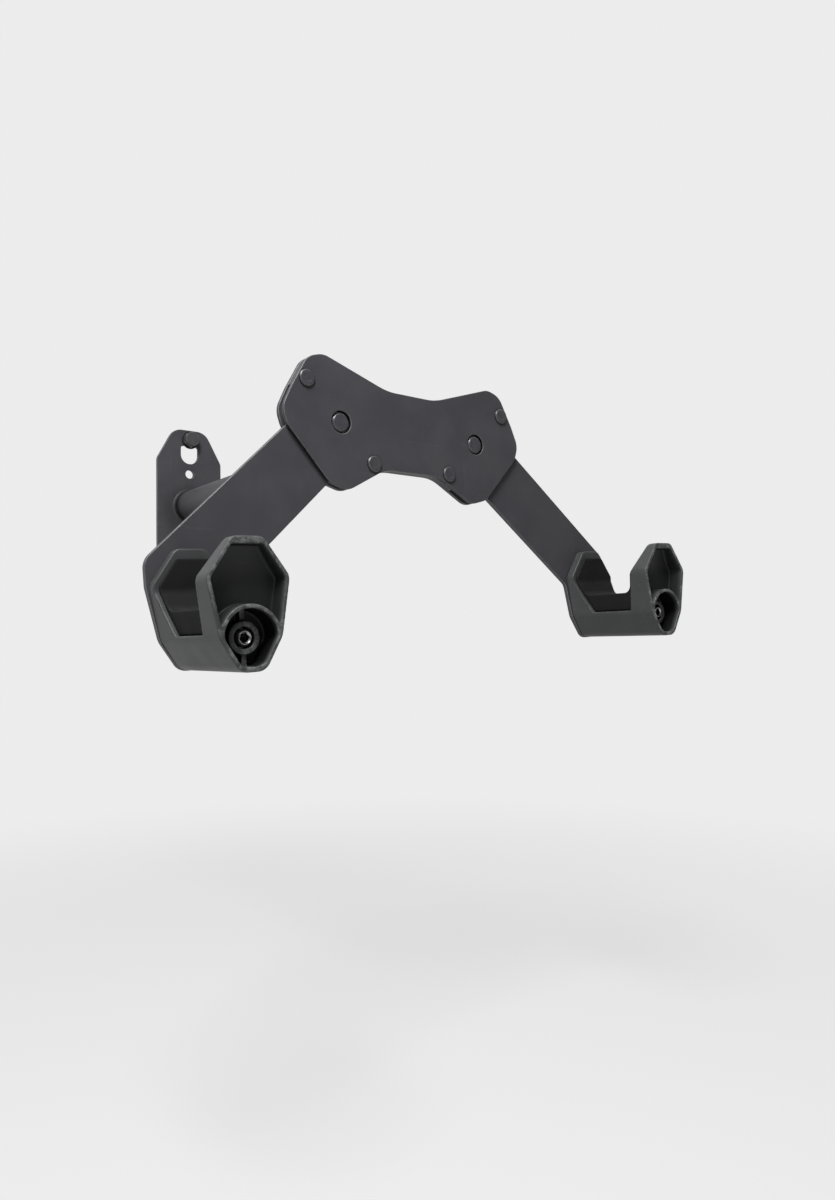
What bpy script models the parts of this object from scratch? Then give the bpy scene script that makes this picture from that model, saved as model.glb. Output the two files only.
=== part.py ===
# A wall bracket that holds a bicycle by its top tube. A plate on the wall carries a
# round boom, the boom carries a bow-tie shaped head, and two flat arms swing in the
# head. Each arm ends in a saddle that swivels to lie along the tube.
#
# Metres. X is to the right, Y runs into the wall and Z is up. The origin is on the
# wall, on the boom's axis, and the pieces stand out from the wall along -Y.

import math

import bmesh
import bpy
from mathutils import Vector
from mathutils.geometry import tessellate_polygon

# Gap between faces that rest on each other, and round a shank in its hole
seat_gap = 0.0003
edge_chamfer = 0.0004
arc_step = math.radians(18)
# How far a cutter reaches past the faces that it cuts
cutter_overlap = 0.002
# A rivet tail's flat end, as a share of its width
tail_taper = 0.75

# Wall plate
wall_plate_width = 0.061
wall_plate_height = 0.1416
wall_plate_thickness = 0.003
wall_plate_tip_width = 0.030
wall_plate_tip_radius = 0.013
wall_plate_shoulder_height = 0.0425
wall_plate_shoulder_radius = 0.008
keyhole_width = 0.0164
keyhole_bottom_height = 0.0399
keyhole_shoulder_height = 0.0562
keyhole_neck_width = 0.0088
keyhole_shoulder_radius = 0.0025
keyhole_neck_radius = 0.001
upper_screw_height = 0.0616
spare_hole_diameter = 0.0077
spare_hole_height = 0.0304
lower_screw_height = -0.0545

# Coach screws and washers that hold the plate to the wall
wall_screw_diameter = 0.008
wall_screw_flats = 0.013
wall_screw_head_height = 0.0055
wall_screw_head_chamfer = 0.0006
wall_washer_diameter = 0.016
wall_washer_thickness = 0.0016

# Boom
boom_diameter = 0.0286
boom_wall = 0.002
boom_length = 0.3244
boom_weld = 0.002

# Head: two bow-tie plates with a spacer of the arms' thickness between them
bridge_thickness = 0.0025
pivot_spacing = 0.102
waist_top_half_width = 0.018
waist_top_height = 0.0231
waist_bottom_half_width = 0.020
waist_bottom_height = -0.024
lobe_foot_x = 0.0468
lobe_foot_height = -0.039
lobe_heel_x = 0.0595
lobe_heel_height = -0.0353
lobe_cheek_x = 0.086
lobe_cheek_height = -0.006
lobe_side_x = 0.089
lobe_side_height = 0.0035
lobe_shoulder_x = 0.0832
lobe_shoulder_height = 0.016
lobe_brow_x = 0.0728
lobe_brow_height = 0.0345
lobe_crown_x = 0.0625
lobe_crown_height = 0.0375
lobe_corner_radius = 0.012
lobe_foot_radius = 0.011
waist_bottom_radius = 0.025
waist_top_radius = 0.040
spacer_inset = 0.0003
stop_clearance = 0.0005
sweep_reach = 0.075

# Pivot rivets, their bushes, and the four small rivets' places and sizes
pivot_shank_diameter = 0.008
pivot_head_diameter = 0.0116
pivot_head_height = 0.0021
pivot_rim_height = 0.0014
pivot_face_share = 0.6
pivot_tail_diameter = 0.012
pivot_tail_height = 0.002
pivot_window_diameter = 0.013
pivot_bush_diameter = 0.013
rivet_offset_x = 0.0225
rivet_offset_z = 0.0216
rivet_shank_diameter = 0.004
rivet_head_diameter = 0.0098
rivet_head_height = 0.0009
rivet_dish_diameter = 0.0058
rivet_dish_depth = 0.0003
rivet_tail_diameter = 0.008
rivet_tail_height = 0.0015

# Arms. A drop is the angle of an arm below the horizontal.
arm_width = 0.040
arm_thickness = 0.003
arm_reach = 0.1502
arm_offset = 0.0243
nominal_drop = math.radians(40.5)
highest_drop = math.radians(6)
lowest_drop = math.radians(86)
left_rest_drop = math.radians(44.5)
right_rest_drop = math.radians(36.5)
arm_lip = 0.0003
elbow_radius = 0.010
elbow_inner_radius = 0.006

# Saddle block, seen from the front: heights are above the bolt, widths are halves
saddle_length = 0.0677
saddle_top_height = 0.045
saddle_top_half_width = 0.0078
saddle_vertex_height = 0.027
saddle_vertex_half_width = 0.0205
saddle_bolt_half_width = 0.0154
saddle_bottom_height = -0.0153
saddle_bottom_half_width = 0.0062
saddle_top_radius = 0.005
saddle_vertex_radius = 0.006
saddle_side_radius = 0.012
saddle_bottom_radius = 0.007
saddle_chamfer = 0.0007

# Saddle block, seen from the side: depths are behind the front rim
lip_top_depth = 0.0065
lip_middle_depth = 0.012
lip_middle_height = 0.029
lip_foot_depth = 0.0173
notch_floor_height = 0.002
notch_back_depth = 0.049
ramp_depth = 0.0565
ramp_height = 0.014
ramp_radius = 0.008
back_wall_depth = 0.0615
back_wall_height = 0.024
back_wall_radius = 0.006
skin_thickness = 0.0023
core_half_width = 0.0062
core_top_height = 0.006
core_bottom_height = -0.005

# Front of the saddle block: an open pocket over an arched recess round the bolt
rim_wall = 0.0021
pocket_depth = 0.010
pocket_top_depth = 0.0045
pocket_top_wall = 0.0036
arch_radius = 0.013
arch_wall = 0.002
recess_depth = 0.013
ring_diameter = 0.0154
ring_depth = 0.0078
rib_width = 0.0026
rib_depth = 0.0092

# Rubber liner in the saddle
liner_seat_height = 0.0138
liner_wall = 0.002
liner_top_height = 0.040
liner_edge_radius = 0.0006
liner_foot_radius = 0.002
liner_lip_radius = 0.004
liner_seat_radius = 0.006

# Saddle bolt and what is on it
bolt_diameter = 0.005
bolt_head_diameter = 0.0085
bolt_head_height = 0.005
bolt_head_depth = 0.007
bolt_socket_flats = 0.004
bolt_socket_depth = 0.0026
bolt_point_length = 0.001
bolt_washer_diameter = 0.0094
bolt_washer_thickness = 0.001
sleeve_diameter = 0.007
rear_washer_diameter = 0.010
nut_flats = 0.008
nut_height = 0.005

# Places along Y, worked out from the wall forwards
plate_front = -wall_plate_thickness
boom_back = plate_front - seat_gap
boom_front = boom_back - boom_length
rear_bridge_back = boom_front - seat_gap
rear_bridge_front = rear_bridge_back - bridge_thickness
arm_back = rear_bridge_front - seat_gap
arm_front = arm_back - arm_thickness
front_bridge_back = arm_front - seat_gap
front_bridge_front = front_bridge_back - bridge_thickness
saddle_back = arm_front - seat_gap
saddle_rim = saddle_back - saddle_length

half_pivot_spacing = pivot_spacing / 2
clear_of_arm = arm_width / 2 + stop_clearance


def finish(name, colour, roughness, metallic):
    material = bpy.data.materials.new(name)
    material.use_nodes = True
    shader = material.node_tree.nodes["Principled BSDF"]
    shader.inputs["Base Color"].default_value = (*colour, 1)
    shader.inputs["Roughness"].default_value = roughness
    shader.inputs["Metallic"].default_value = metallic
    material.diffuse_color = (*colour, 1)
    return material


def rounded(corners):
    """The outline through (x, z, radius) corners, anticlockwise, as (x, z, out_x, out_z).

    (out_x, out_z) is how far the point moves when the outline grows by one unit.
    """
    points = []
    for index, (x, z, radius) in enumerate(corners):
        corner = Vector((x, z))
        before = Vector(corners[index - 1][:2])
        after = Vector(corners[(index + 1) % len(corners)][:2])
        way_in = (corner - before).normalized()
        way_out = (after - corner).normalized()
        turn = math.atan2(way_in.x * way_out.y - way_in.y * way_out.x, way_in.dot(way_out))
        out = Vector((way_in.y, -way_in.x))
        if radius == 0:
            other = Vector((way_out.y, -way_out.x))
            mitre = (out + other) / (1 + out.dot(other))
            points.append((x, z, mitre.x, mitre.y))
            continue
        side = math.copysign(1, turn)
        start = corner - way_in * radius * math.tan(abs(turn) / 2)
        centre = start - out * side * radius
        steps = max(2, math.ceil(abs(turn) / arc_step))
        for step in range(steps + 1):
            angle = turn * step / steps
            cosine, sine = math.cos(angle), math.sin(angle)
            normal = Vector((out.x * cosine - out.y * sine, out.x * sine + out.y * cosine))
            point = centre + normal * side * radius
            points.append((point.x, point.y, normal.x, normal.y))
    return [p for p, q in zip(points, points[-1:] + points) if math.dist(p[:2], q[:2]) > 1e-6]


def circle(x, z, radius, count):
    turns = [math.tau * step / count for step in range(count)]
    return [(x + radius * math.cos(t), z + radius * math.sin(t), math.cos(t), math.sin(t)) for t in turns]


def grown(outline, amount):
    return [(x + out_x * amount, z + out_z * amount, out_x, out_z) for x, z, out_x, out_z in outline]


def mesh_object(name, bm, material=None):
    """An object of this mesh, with its faces pointing out and its round parts smooth."""
    bmesh.ops.recalc_face_normals(bm, faces=bm.faces)
    mesh = bpy.data.meshes.new(name)
    bm.to_mesh(mesh)
    bm.free()
    mesh.shade_smooth()
    mesh.set_sharp_from_angle(angle=math.radians(30))
    obj = bpy.data.objects.new(name, mesh)
    bpy.context.scene.collection.objects.link(obj)
    if material:
        mesh.materials.append(material)
    else:
        obj.hide_render = True
        obj.display_type = "WIRE"
    return obj


def extruded(name, outline, holes, back, front, material=None, chamfer=0.0, along="Y"):
    """A plate with this outline and these holes, from back to front, its edges chamfered."""
    levels = [(back, chamfer), (back - chamfer, 0), (front + chamfer, 0), (front, chamfer)]
    if chamfer == 0:
        levels = [(back, 0), (front, 0)]
    bm = bmesh.new()
    caps = []
    for loop, grows in [(outline, -1)] + [(hole, 1) for hole in holes]:
        rings = []
        for depth, inset in levels:
            flat = [(p[0], p[1]) for p in grown(loop, grows * inset)]
            places = [(a, depth, b) if along == "Y" else (depth, a, b) for a, b in flat]
            rings.append([bm.verts.new(place) for place in places])
        for ring, after in zip(rings, rings[1:]):
            for i in range(len(ring)):
                bm.faces.new((ring[i - 1], ring[i], after[i], after[i - 1]))
        caps.append((rings[0], rings[-1], flat))
    triangles = tessellate_polygon([[Vector((a, b, 0)) for a, b in cap[2]] for cap in caps])
    for end in (0, 1):
        verts = [vert for cap in caps for vert in cap[end]]
        for triangle in triangles:
            bm.faces.new([verts[i] for i in triangle])
    return mesh_object(name, bm, material)


def turned(name, profile, count, material=None, closed=False):
    """The profile of (radius, y) points turned round the Y axis."""
    bm = bmesh.new()
    verts = [bm.verts.new((radius, y, 0)) for radius, y in profile]
    edges = [bm.edges.new(pair) for pair in zip(verts, verts[1:])]
    if closed:
        edges.append(bm.edges.new((verts[-1], verts[0])))
    bmesh.ops.spin(
        bm, geom=verts + edges, cent=(0, 0, 0), axis=(0, 1, 0), angle=math.tau, steps=count
    )
    bmesh.ops.remove_doubles(bm, verts=bm.verts, dist=1e-7)
    return mesh_object(name, bm, material)


def ring(name, outer, inner, back, front, count, material):
    """A flat ring, such as a washer or a sleeve, between two places along Y."""
    profile = [(inner, back), (outer, back), (outer, front), (inner, front)]
    return turned(name, profile, count, material, closed=True)


def combine(target, operation, other):
    modifier = target.modifiers.new(f"{operation} {other.name}".lower(), "BOOLEAN")
    modifier.operation = operation
    modifier.object = other
    other.parent = target


def settled(obj):
    """Turns the object's modifiers into its mesh, so that copies can share the mesh."""
    bpy.context.view_layer.update()
    graph = bpy.context.evaluated_depsgraph_get()
    mesh = bpy.data.meshes.new_from_object(obj.evaluated_get(graph))
    for child in obj.children:
        bpy.data.objects.remove(child, do_unlink=True)
    obj.modifiers.clear()
    obj.data = mesh
    return mesh


def place(obj, x=0.0, z=0.0, parent=None):
    obj.location = (x, 0, z)
    obj.parent = parent
    return obj


def axis_empty(name, x, z, turn, parent=None):
    """An empty on a joint's axis, which runs along Y. A positive turn lowers +X."""
    empty = bpy.data.objects.new(name, None)
    bpy.context.scene.collection.objects.link(empty)
    empty.location = (x, 0, z)
    empty.rotation_euler = (0, turn, 0)
    empty.empty_display_size = 0.02
    empty.parent = parent
    return empty


def hexagon(flats):
    reach = flats / 2 / math.cos(math.radians(30))
    angles = [math.radians(60 * step + 30) for step in range(6)]
    return rounded([(reach * math.cos(a), reach * math.sin(a), 0) for a in angles])


def line_meets(point, way, height):
    """Where the line through point along way reaches this height."""
    return point[0] + way[0] * (height - point[1]) / way[1]


def along_arm(side, drop):
    """The arm's direction and the direction square to it, towards its upper edge."""
    return (
        Vector((side * math.cos(drop), -math.sin(drop))),
        Vector((side * math.sin(drop), math.cos(drop))),
    )


def bolt_place(side, drop):
    """Where a saddle's bolt is when its arm hangs at this drop."""
    out, up = along_arm(side, drop)
    return Vector((side * half_pivot_spacing, 0)) + out * arm_reach - up * arm_offset


# Wall plate and what holds it


def keyhole_outline():
    wide = keyhole_width / 2
    neck = keyhole_neck_width / 2
    top = upper_screw_height + neck
    half = [
        (wide, keyhole_bottom_height, wide),
        (wide, keyhole_shoulder_height, keyhole_shoulder_radius),
        (neck, keyhole_shoulder_height, keyhole_neck_radius),
        (neck, top, neck),
    ]
    return rounded(half + [(-x, z, radius) for x, z, radius in reversed(half)])


def wall_plate(material):
    half_height = wall_plate_height / 2
    quarter = [
        (wall_plate_width / 2, wall_plate_shoulder_height, wall_plate_shoulder_radius),
        (wall_plate_tip_width / 2, half_height, wall_plate_tip_radius),
    ]
    top = quarter + [(-x, z, radius) for x, z, radius in reversed(quarter)]
    outline = rounded(top + [(-x, -z, radius) for x, z, radius in top])
    holes = [
        keyhole_outline(),
        circle(0, spare_hole_height, spare_hole_diameter / 2, 20),
        circle(0, lower_screw_height, keyhole_neck_width / 2, 20),
    ]
    return extruded("wall_plate", outline, holes, 0, plate_front, material, edge_chamfer)


def wall_fasteners(material):
    washer_back = plate_front - seat_gap
    washer_front = washer_back - wall_washer_thickness
    head_back = washer_front - seat_gap
    head_front = head_back - wall_screw_head_height
    shank = wall_screw_diameter / 2
    for name, height in (("upper", upper_screw_height), ("lower", lower_screw_height)):
        washer = ring(
            f"{name}_wall_washer",
            wall_washer_diameter / 2,
            shank + seat_gap,
            washer_back,
            washer_front,
            28,
            material,
        )
        place(washer, z=height)
        screw = extruded(
            f"{name}_wall_screw",
            hexagon(wall_screw_flats),
            [],
            head_back,
            head_front,
            material,
            wall_screw_head_chamfer,
        )
        profile = [(0, -seat_gap), (shank, -seat_gap), (shank, head_front / 2 + head_back / 2)]
        core = turned(f"{name}_wall_screw_shank", profile + [(0, profile[-1][1])], 20)
        combine(screw, "UNION", core)
        place(screw, z=height)


# Boom and head


def boom_tube(material):
    outer = boom_diameter / 2
    inner = outer - boom_wall
    profile = [
        (inner, boom_back),
        (outer + boom_weld, boom_back),
        (outer + boom_weld / 3, boom_back - boom_weld / 3),
        (outer, boom_back - boom_weld),
        (outer, boom_front + boom_weld),
        (outer + boom_weld / 3, boom_front + boom_weld / 3),
        (outer + boom_weld, boom_front),
        (inner, boom_front),
    ]
    return turned("boom_tube", profile, 40, material, closed=True)


def bow_tie_outline():
    half = [
        (waist_bottom_half_width, waist_bottom_height, waist_bottom_radius),
        (lobe_foot_x, lobe_foot_height, lobe_foot_radius),
        (lobe_heel_x, lobe_heel_height, lobe_foot_radius),
        (lobe_cheek_x, lobe_cheek_height, lobe_corner_radius),
        (lobe_side_x, lobe_side_height, lobe_corner_radius),
        (lobe_shoulder_x, lobe_shoulder_height, lobe_corner_radius),
        (lobe_brow_x, lobe_brow_height, lobe_corner_radius),
        (lobe_crown_x, lobe_crown_height, lobe_corner_radius),
        (waist_top_half_width, waist_top_height, waist_top_radius),
    ]
    return rounded(half + [(-x, z, radius) for x, z, radius in reversed(half)])


def rivet_places():
    """(name, x, z) of the small rivets: outwards above each pivot, inwards below it."""
    places = []
    for word, side in (("left", -1), ("right", 1)):
        outwards = half_pivot_spacing + rivet_offset_x
        inwards = half_pivot_spacing - rivet_offset_x
        places.append((f"{word}_upper_rivet", side * outwards, rivet_offset_z))
        places.append((f"{word}_lower_rivet", side * inwards, -rivet_offset_z))
    return places


def rivet_holes():
    radius = rivet_shank_diameter / 2 + seat_gap
    return [circle(x, z, radius, 12) for _, x, z in rivet_places()]


def bridge_plates(material):
    pivot = pivot_shank_diameter / 2 + seat_gap
    window = pivot_window_diameter / 2
    rear_holes = [circle(side * half_pivot_spacing, 0, pivot, 20) for side in (-1, 1)]
    front_holes = [circle(side * half_pivot_spacing, 0, window, 32) for side in (-1, 1)]
    extruded(
        "rear_bridge_plate",
        bow_tie_outline(),
        rear_holes + rivet_holes(),
        rear_bridge_back,
        rear_bridge_front,
        material,
        edge_chamfer,
    )
    extruded(
        "front_bridge_plate",
        bow_tie_outline(),
        front_holes + rivet_holes(),
        front_bridge_back,
        front_bridge_front,
        material,
        edge_chamfer,
    )


def swept_by_arm(side):
    """The room that one arm needs between its two stops, as an outline."""
    pivot = Vector((side * half_pivot_spacing, 0))
    high_way, high_up = along_arm(side, highest_drop)
    low_way, low_up = along_arm(side, lowest_drop)
    upper_end = pivot + high_up * clear_of_arm + high_way * sweep_reach
    lower_end = pivot - low_up * clear_of_arm + low_way * sweep_reach
    points = [tuple(lower_end), (upper_end.x, lower_end.y), tuple(upper_end)]
    first = math.atan2(high_up.y, side * high_up.x)
    last = math.tau + math.atan2(-low_up.y, -side * low_up.x)
    steps = math.ceil((last - first) / math.radians(7.5))
    for step in range(steps + 1):
        angle = first + (last - first) * step / steps
        reach = Vector((side * math.cos(angle), math.sin(angle))) * clear_of_arm
        points.append(tuple(pivot + reach))
    return [(x, z, 0, 0) for x, z in points]


def centre_spacer(material):
    outline = grown(bow_tie_outline(), -spacer_inset)
    spacer = extruded("centre_spacer", outline, rivet_holes(), arm_back, arm_front, material)
    back = arm_back + cutter_overlap
    front = arm_front - cutter_overlap
    for side in (-1, 1):
        room = extruded(f"arm_room {side}", swept_by_arm(side), [], back, front)
        combine(spacer, "DIFFERENCE", room)
    return spacer


def head_rivets(material):
    """The small rivets have low flat heads with a shallow dish in the middle."""
    seat = front_bridge_front - seat_gap
    back = rear_bridge_back + seat_gap
    shank = rivet_shank_diameter / 2
    head = rivet_head_diameter / 2
    dish = rivet_dish_diameter / 2
    tail = rivet_tail_diameter / 2
    front = seat - rivet_head_height
    profile = [(0, back + rivet_tail_height)]
    profile += [(tail * tail_taper, back + rivet_tail_height), (tail, back)]
    profile += [(shank, back), (shank, seat), (head, seat)]
    profile += [(head, front + edge_chamfer), (head - edge_chamfer, front), (dish, front)]
    profile += [(dish - rivet_dish_depth, front + rivet_dish_depth), (0, front + rivet_dish_depth)]
    for name, x, z in rivet_places():
        place(turned(name, profile, 18, material), x, z)


def pivot_rivets(material):
    """Each pivot's low cone head sits on its arm, in the front plate's larger hole."""
    seat = arm_front - seat_gap
    back = rear_bridge_back + seat_gap
    shank = pivot_shank_diameter / 2
    head = pivot_head_diameter / 2
    tail = pivot_tail_diameter / 2
    front = seat - pivot_head_height
    profile = [(0, back + pivot_tail_height)]
    profile += [(tail * tail_taper, back + pivot_tail_height), (tail, back)]
    profile += [(shank, back), (shank, seat), (head, seat), (head, seat - pivot_rim_height)]
    profile += [(head * pivot_face_share, front), (0, front)]
    for word, side in (("left", -1), ("right", 1)):
        place(turned(f"{word}_pivot_rivet", profile, 28, material), side * half_pivot_spacing)


# Arms and saddles


def saddle_outline():
    """The saddle block from the front, round its bolt."""
    half = [
        (saddle_bottom_half_width, saddle_bottom_height, saddle_bottom_radius),
        (saddle_bolt_half_width, 0, saddle_side_radius),
        (saddle_vertex_half_width, saddle_vertex_height, saddle_vertex_radius),
        (saddle_top_half_width, saddle_top_height, saddle_top_radius),
    ]
    return rounded(half + [(-x, z, radius) for x, z, radius in reversed(half)])


def arm_outline():
    """A right arm lying along +X from its pivot, with its saddle end bent down.

    The end follows the saddle's outline, a lip larger, and stands upright when the
    arm hangs at its nominal drop.
    """
    half = arm_width / 2
    right = Vector((math.cos(nominal_drop), math.sin(nominal_drop)))
    up = Vector((-right.y, right.x))
    bolt = Vector((arm_reach, -arm_offset))
    vertex = Vector((saddle_vertex_half_width + arm_lip, saddle_vertex_height))
    side = Vector((saddle_bolt_half_width + arm_lip, 0))
    foot = Vector((saddle_bottom_half_width + arm_lip / 2, saddle_bottom_height - arm_lip))

    def at(across, above):
        point = bolt + right * across + up * above
        return (point.x, point.y)

    outer = Vector(at(vertex.x, vertex.y))
    elbow = (line_meets(outer, up, half), half)
    inner = Vector(at(-side.x, side.y))
    inner_way = Vector(at(-vertex.x, vertex.y)) - inner
    crook = (line_meets(inner, inner_way, -half), -half)
    return rounded(
        [
            (-half, half, half),
            (-half, -half, half),
            (*crook, elbow_inner_radius),
            (*inner, saddle_side_radius),
            (*at(-foot.x, foot.y), saddle_bottom_radius + arm_lip),
            (*at(foot.x, foot.y), saddle_bottom_radius + arm_lip),
            (*at(side.x, side.y), saddle_side_radius),
            (*outer, saddle_vertex_radius),
            (*elbow, elbow_radius),
        ]
    )


def mirrored(outline, side):
    return [(side * x, z, side * out_x, out_z) for x, z, out_x, out_z in outline]


def arm(word, side, pivot, material):
    holes = [
        circle(0, 0, pivot_bush_diameter / 2 + seat_gap, 28),
        circle(side * arm_reach, -arm_offset, bolt_diameter / 2 + seat_gap, 16),
    ]
    outline = mirrored(arm_outline(), side)
    plate = extruded(f"{word}_arm", outline, holes, arm_back, arm_front, material, edge_chamfer)
    return place(plate, parent=pivot)


def pivot_bush(word, pivot, material):
    bush = ring(
        f"{word}_pivot_bush",
        pivot_bush_diameter / 2,
        pivot_shank_diameter / 2 + seat_gap,
        arm_back,
        arm_front,
        24,
        material,
    )
    return place(bush, parent=pivot)


def ramp_depth_at(height):
    """How far behind the rim the channel's rear ramp is at this height."""
    share = (height - notch_floor_height) / (ramp_height - notch_floor_height)
    return notch_back_depth + (ramp_depth - notch_back_depth) * share


def lip_depth_at(height):
    """How far behind the rim the lip's rear face is at this height."""
    if height > lip_middle_height:
        share = (height - lip_middle_height) / (saddle_top_height - lip_middle_height)
        return lip_middle_depth + (lip_top_depth - lip_middle_depth) * share
    share = (height - notch_floor_height) / (lip_middle_height - notch_floor_height)
    return lip_foot_depth + (lip_middle_depth - lip_foot_depth) * share


def side_view(points):
    """Points given as (depth behind the rim, height, radius) as (y, z, radius)."""
    return [(saddle_rim + depth, height, radius) for depth, height, radius in points]


def channel(over):
    """The room for the bicycle's tube, seen from the side, open at the top."""
    return rounded(
        side_view(
            [
                (lip_foot_depth, notch_floor_height, 0),
                (notch_back_depth, notch_floor_height, 0),
                (ramp_depth, ramp_height, ramp_radius),
                (back_wall_depth, back_wall_height, back_wall_radius),
                (back_wall_depth, over, 0),
                (lip_depth_at(over), over, 0),
                (lip_middle_depth, lip_middle_height, 0),
            ]
        )
    )


def open_pocket(inside):
    """The room behind the rim and above the arch. Its floor comes forward at the top."""
    floor = saddle_rim + pocket_depth
    ahead = saddle_rim - cutter_overlap
    behind = floor + cutter_overlap
    pocket = extruded("pocket", inside, [], behind, ahead)
    arch = disc("pocket_arch", arch_radius + arch_wall, behind + cutter_overlap, ahead - cutter_overlap, 48)
    combine(pocket, "DIFFERENCE", arch)
    front = -2 * cutter_overlap
    top = saddle_top_height - pocket_top_wall
    depths = side_view(
        [
            (front, saddle_bottom_height, 0),
            (pocket_depth, saddle_bottom_height, 0),
            (pocket_depth, lip_middle_height, 0),
            (pocket_top_depth, top, 0),
            (front, top, 0),
        ]
    )
    across = saddle_vertex_half_width + cutter_overlap
    combine(pocket, "INTERSECT", extruded("pocket_depths", rounded(depths), [], across, -across, along="X"))
    return pocket


def bolt_recess(inside):
    """The room under the arch, round the ring that carries the bolt and its two ribs."""
    floor = saddle_rim + recess_depth
    ahead = saddle_rim - cutter_overlap
    behind = floor + cutter_overlap
    recess = disc("recess", arch_radius, floor, ahead, 48)
    sides = extruded("recess_sides", inside, [], behind, ahead - cutter_overlap)
    combine(recess, "INTERSECT", sides)
    collar = disc("recess_ring", ring_diameter / 2, behind, saddle_rim + ring_depth, 32)
    combine(recess, "DIFFERENCE", collar)
    rib = rectangle(rib_width / 2, saddle_top_height)
    ribs = extruded("recess_ribs", rib, [], behind + cutter_overlap, saddle_rim + rib_depth)
    combine(recess, "DIFFERENCE", ribs)
    return recess


def channel_core(name, growth=0.0):
    """The ridge along the channel's floor that the bolt's bore runs in."""
    across = core_half_width + growth
    top = core_top_height + growth
    corners = [(across, core_bottom_height), (across, top), (-across, top), (-across, core_bottom_height)]
    outline = rounded([(x, z, 0) for x, z in corners])
    back = saddle_rim + (ramp_depth + back_wall_depth) / 2
    front = saddle_rim + (recess_depth + lip_depth_at(core_top_height)) / 2
    return extruded(name, outline, [], back, front)


def saddle_block(material):
    """The moulded block: pocket and recess in front, a channel across, a bore through."""
    outline = saddle_outline()
    block = extruded("saddle_block", outline, [], saddle_back, saddle_rim, material, saddle_chamfer)
    inside = grown(outline, -rim_wall)
    combine(block, "DIFFERENCE", open_pocket(inside))
    combine(block, "DIFFERENCE", bolt_recess(inside))

    over = saddle_top_height + cutter_overlap
    across = saddle_vertex_half_width + cutter_overlap
    combine(block, "DIFFERENCE", extruded("channel", channel(over), [], across, -across, along="X"))
    combine(block, "UNION", channel_core("core"))

    seat = bolt_seat()
    ahead = saddle_rim - cutter_overlap
    beyond = saddle_back + cutter_overlap
    combine(block, "DIFFERENCE", disc("head_bore", head_bore_radius(), seat, ahead, 28))
    sleeve_bore = disc("sleeve_bore", sleeve_bore_radius(), beyond, seat - cutter_overlap, 24)
    combine(block, "DIFFERENCE", sleeve_bore)
    return settled(block)


def disc(name, radius, back, front, count):
    return extruded(name, circle(0, 0, radius, count), [], back, front)


def rectangle(half_width, half_height):
    corners = [(-1, -1), (1, -1), (1, 1), (-1, 1)]
    return rounded([(half_width * a, half_height * b, 0) for a, b in corners])


def head_bore_radius():
    return bolt_washer_diameter / 2 + seat_gap


def sleeve_bore_radius():
    return sleeve_diameter / 2 + seat_gap


def bolt_seat():
    """Where the washer under the bolt's head rests, along Y."""
    return saddle_rim + bolt_head_depth + bolt_head_height + 2 * seat_gap + bolt_washer_thickness


def liner(material):
    """The rubber liner: a thick seat astride the core, and a thin wall up each side."""
    gap = seat_gap
    foot = notch_floor_height + gap
    rear_face = back_wall_depth - gap
    rear_inner = rear_face - liner_wall
    front_face = lip_middle_depth + gap
    front_inner = front_face + liner_wall
    front_top = lip_depth_at(liner_top_height) + gap
    seat_rear = ramp_depth_at(liner_seat_height) - gap - liner_wall
    seat_front = lip_depth_at(liner_seat_height) + gap + liner_wall
    outside = [
        (lip_depth_at(foot) + gap, foot, liner_foot_radius),
        (ramp_depth_at(foot) - gap, foot, liner_foot_radius),
        (ramp_depth - gap, ramp_height, ramp_radius),
        (rear_face, back_wall_height, back_wall_radius),
        (rear_face, liner_top_height, liner_edge_radius),
        (rear_inner, liner_top_height, liner_edge_radius),
    ]
    inside = [
        (rear_inner, back_wall_height, back_wall_radius),
        (seat_rear, liner_seat_height, liner_seat_radius),
        (seat_front, liner_seat_height, liner_seat_radius),
        (front_inner, lip_middle_height, liner_lip_radius),
        (front_top + liner_wall, liner_top_height, liner_edge_radius),
        (front_top, liner_top_height, liner_edge_radius),
        (front_face, lip_middle_height, liner_lip_radius),
    ]
    across = saddle_vertex_half_width
    profile = rounded(side_view(outside + inside))
    body = extruded("saddle_liner", profile, [], across, -across, material, along="X")
    sides = grown(saddle_outline(), -skin_thickness)
    combine(body, "INTERSECT", extruded("liner_sides", sides, [], saddle_back, saddle_rim))
    combine(body, "DIFFERENCE", channel_core("core_room", gap))
    return settled(body)


def saddle_bolt(word, material):
    head_front = saddle_rim + bolt_head_depth
    head_back = head_front + bolt_head_height
    nut_back = nut_place() + nut_height
    tip = nut_back + bolt_point_length
    head = bolt_head_diameter / 2
    shank = bolt_diameter / 2
    profile = [
        (0, tip),
        (shank - edge_chamfer, tip),
        (shank, tip - edge_chamfer),
        (shank, head_back),
        (head, head_back),
        (head, head_front + edge_chamfer),
        (head - edge_chamfer, head_front),
        (0, head_front),
    ]
    bolt = turned(f"{word}_saddle_bolt", profile, 24, material)
    socket_back = head_front + bolt_socket_depth
    socket_mouth = head_front - cutter_overlap
    flats = hexagon(bolt_socket_flats)
    socket = extruded(f"{word}_bolt_socket", flats, [], socket_back, socket_mouth)
    combine(bolt, "DIFFERENCE", socket)
    return bolt


def nut_place():
    """The front face of the nut behind the arm, along Y."""
    return arm_back + 2 * seat_gap + bolt_washer_thickness


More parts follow.
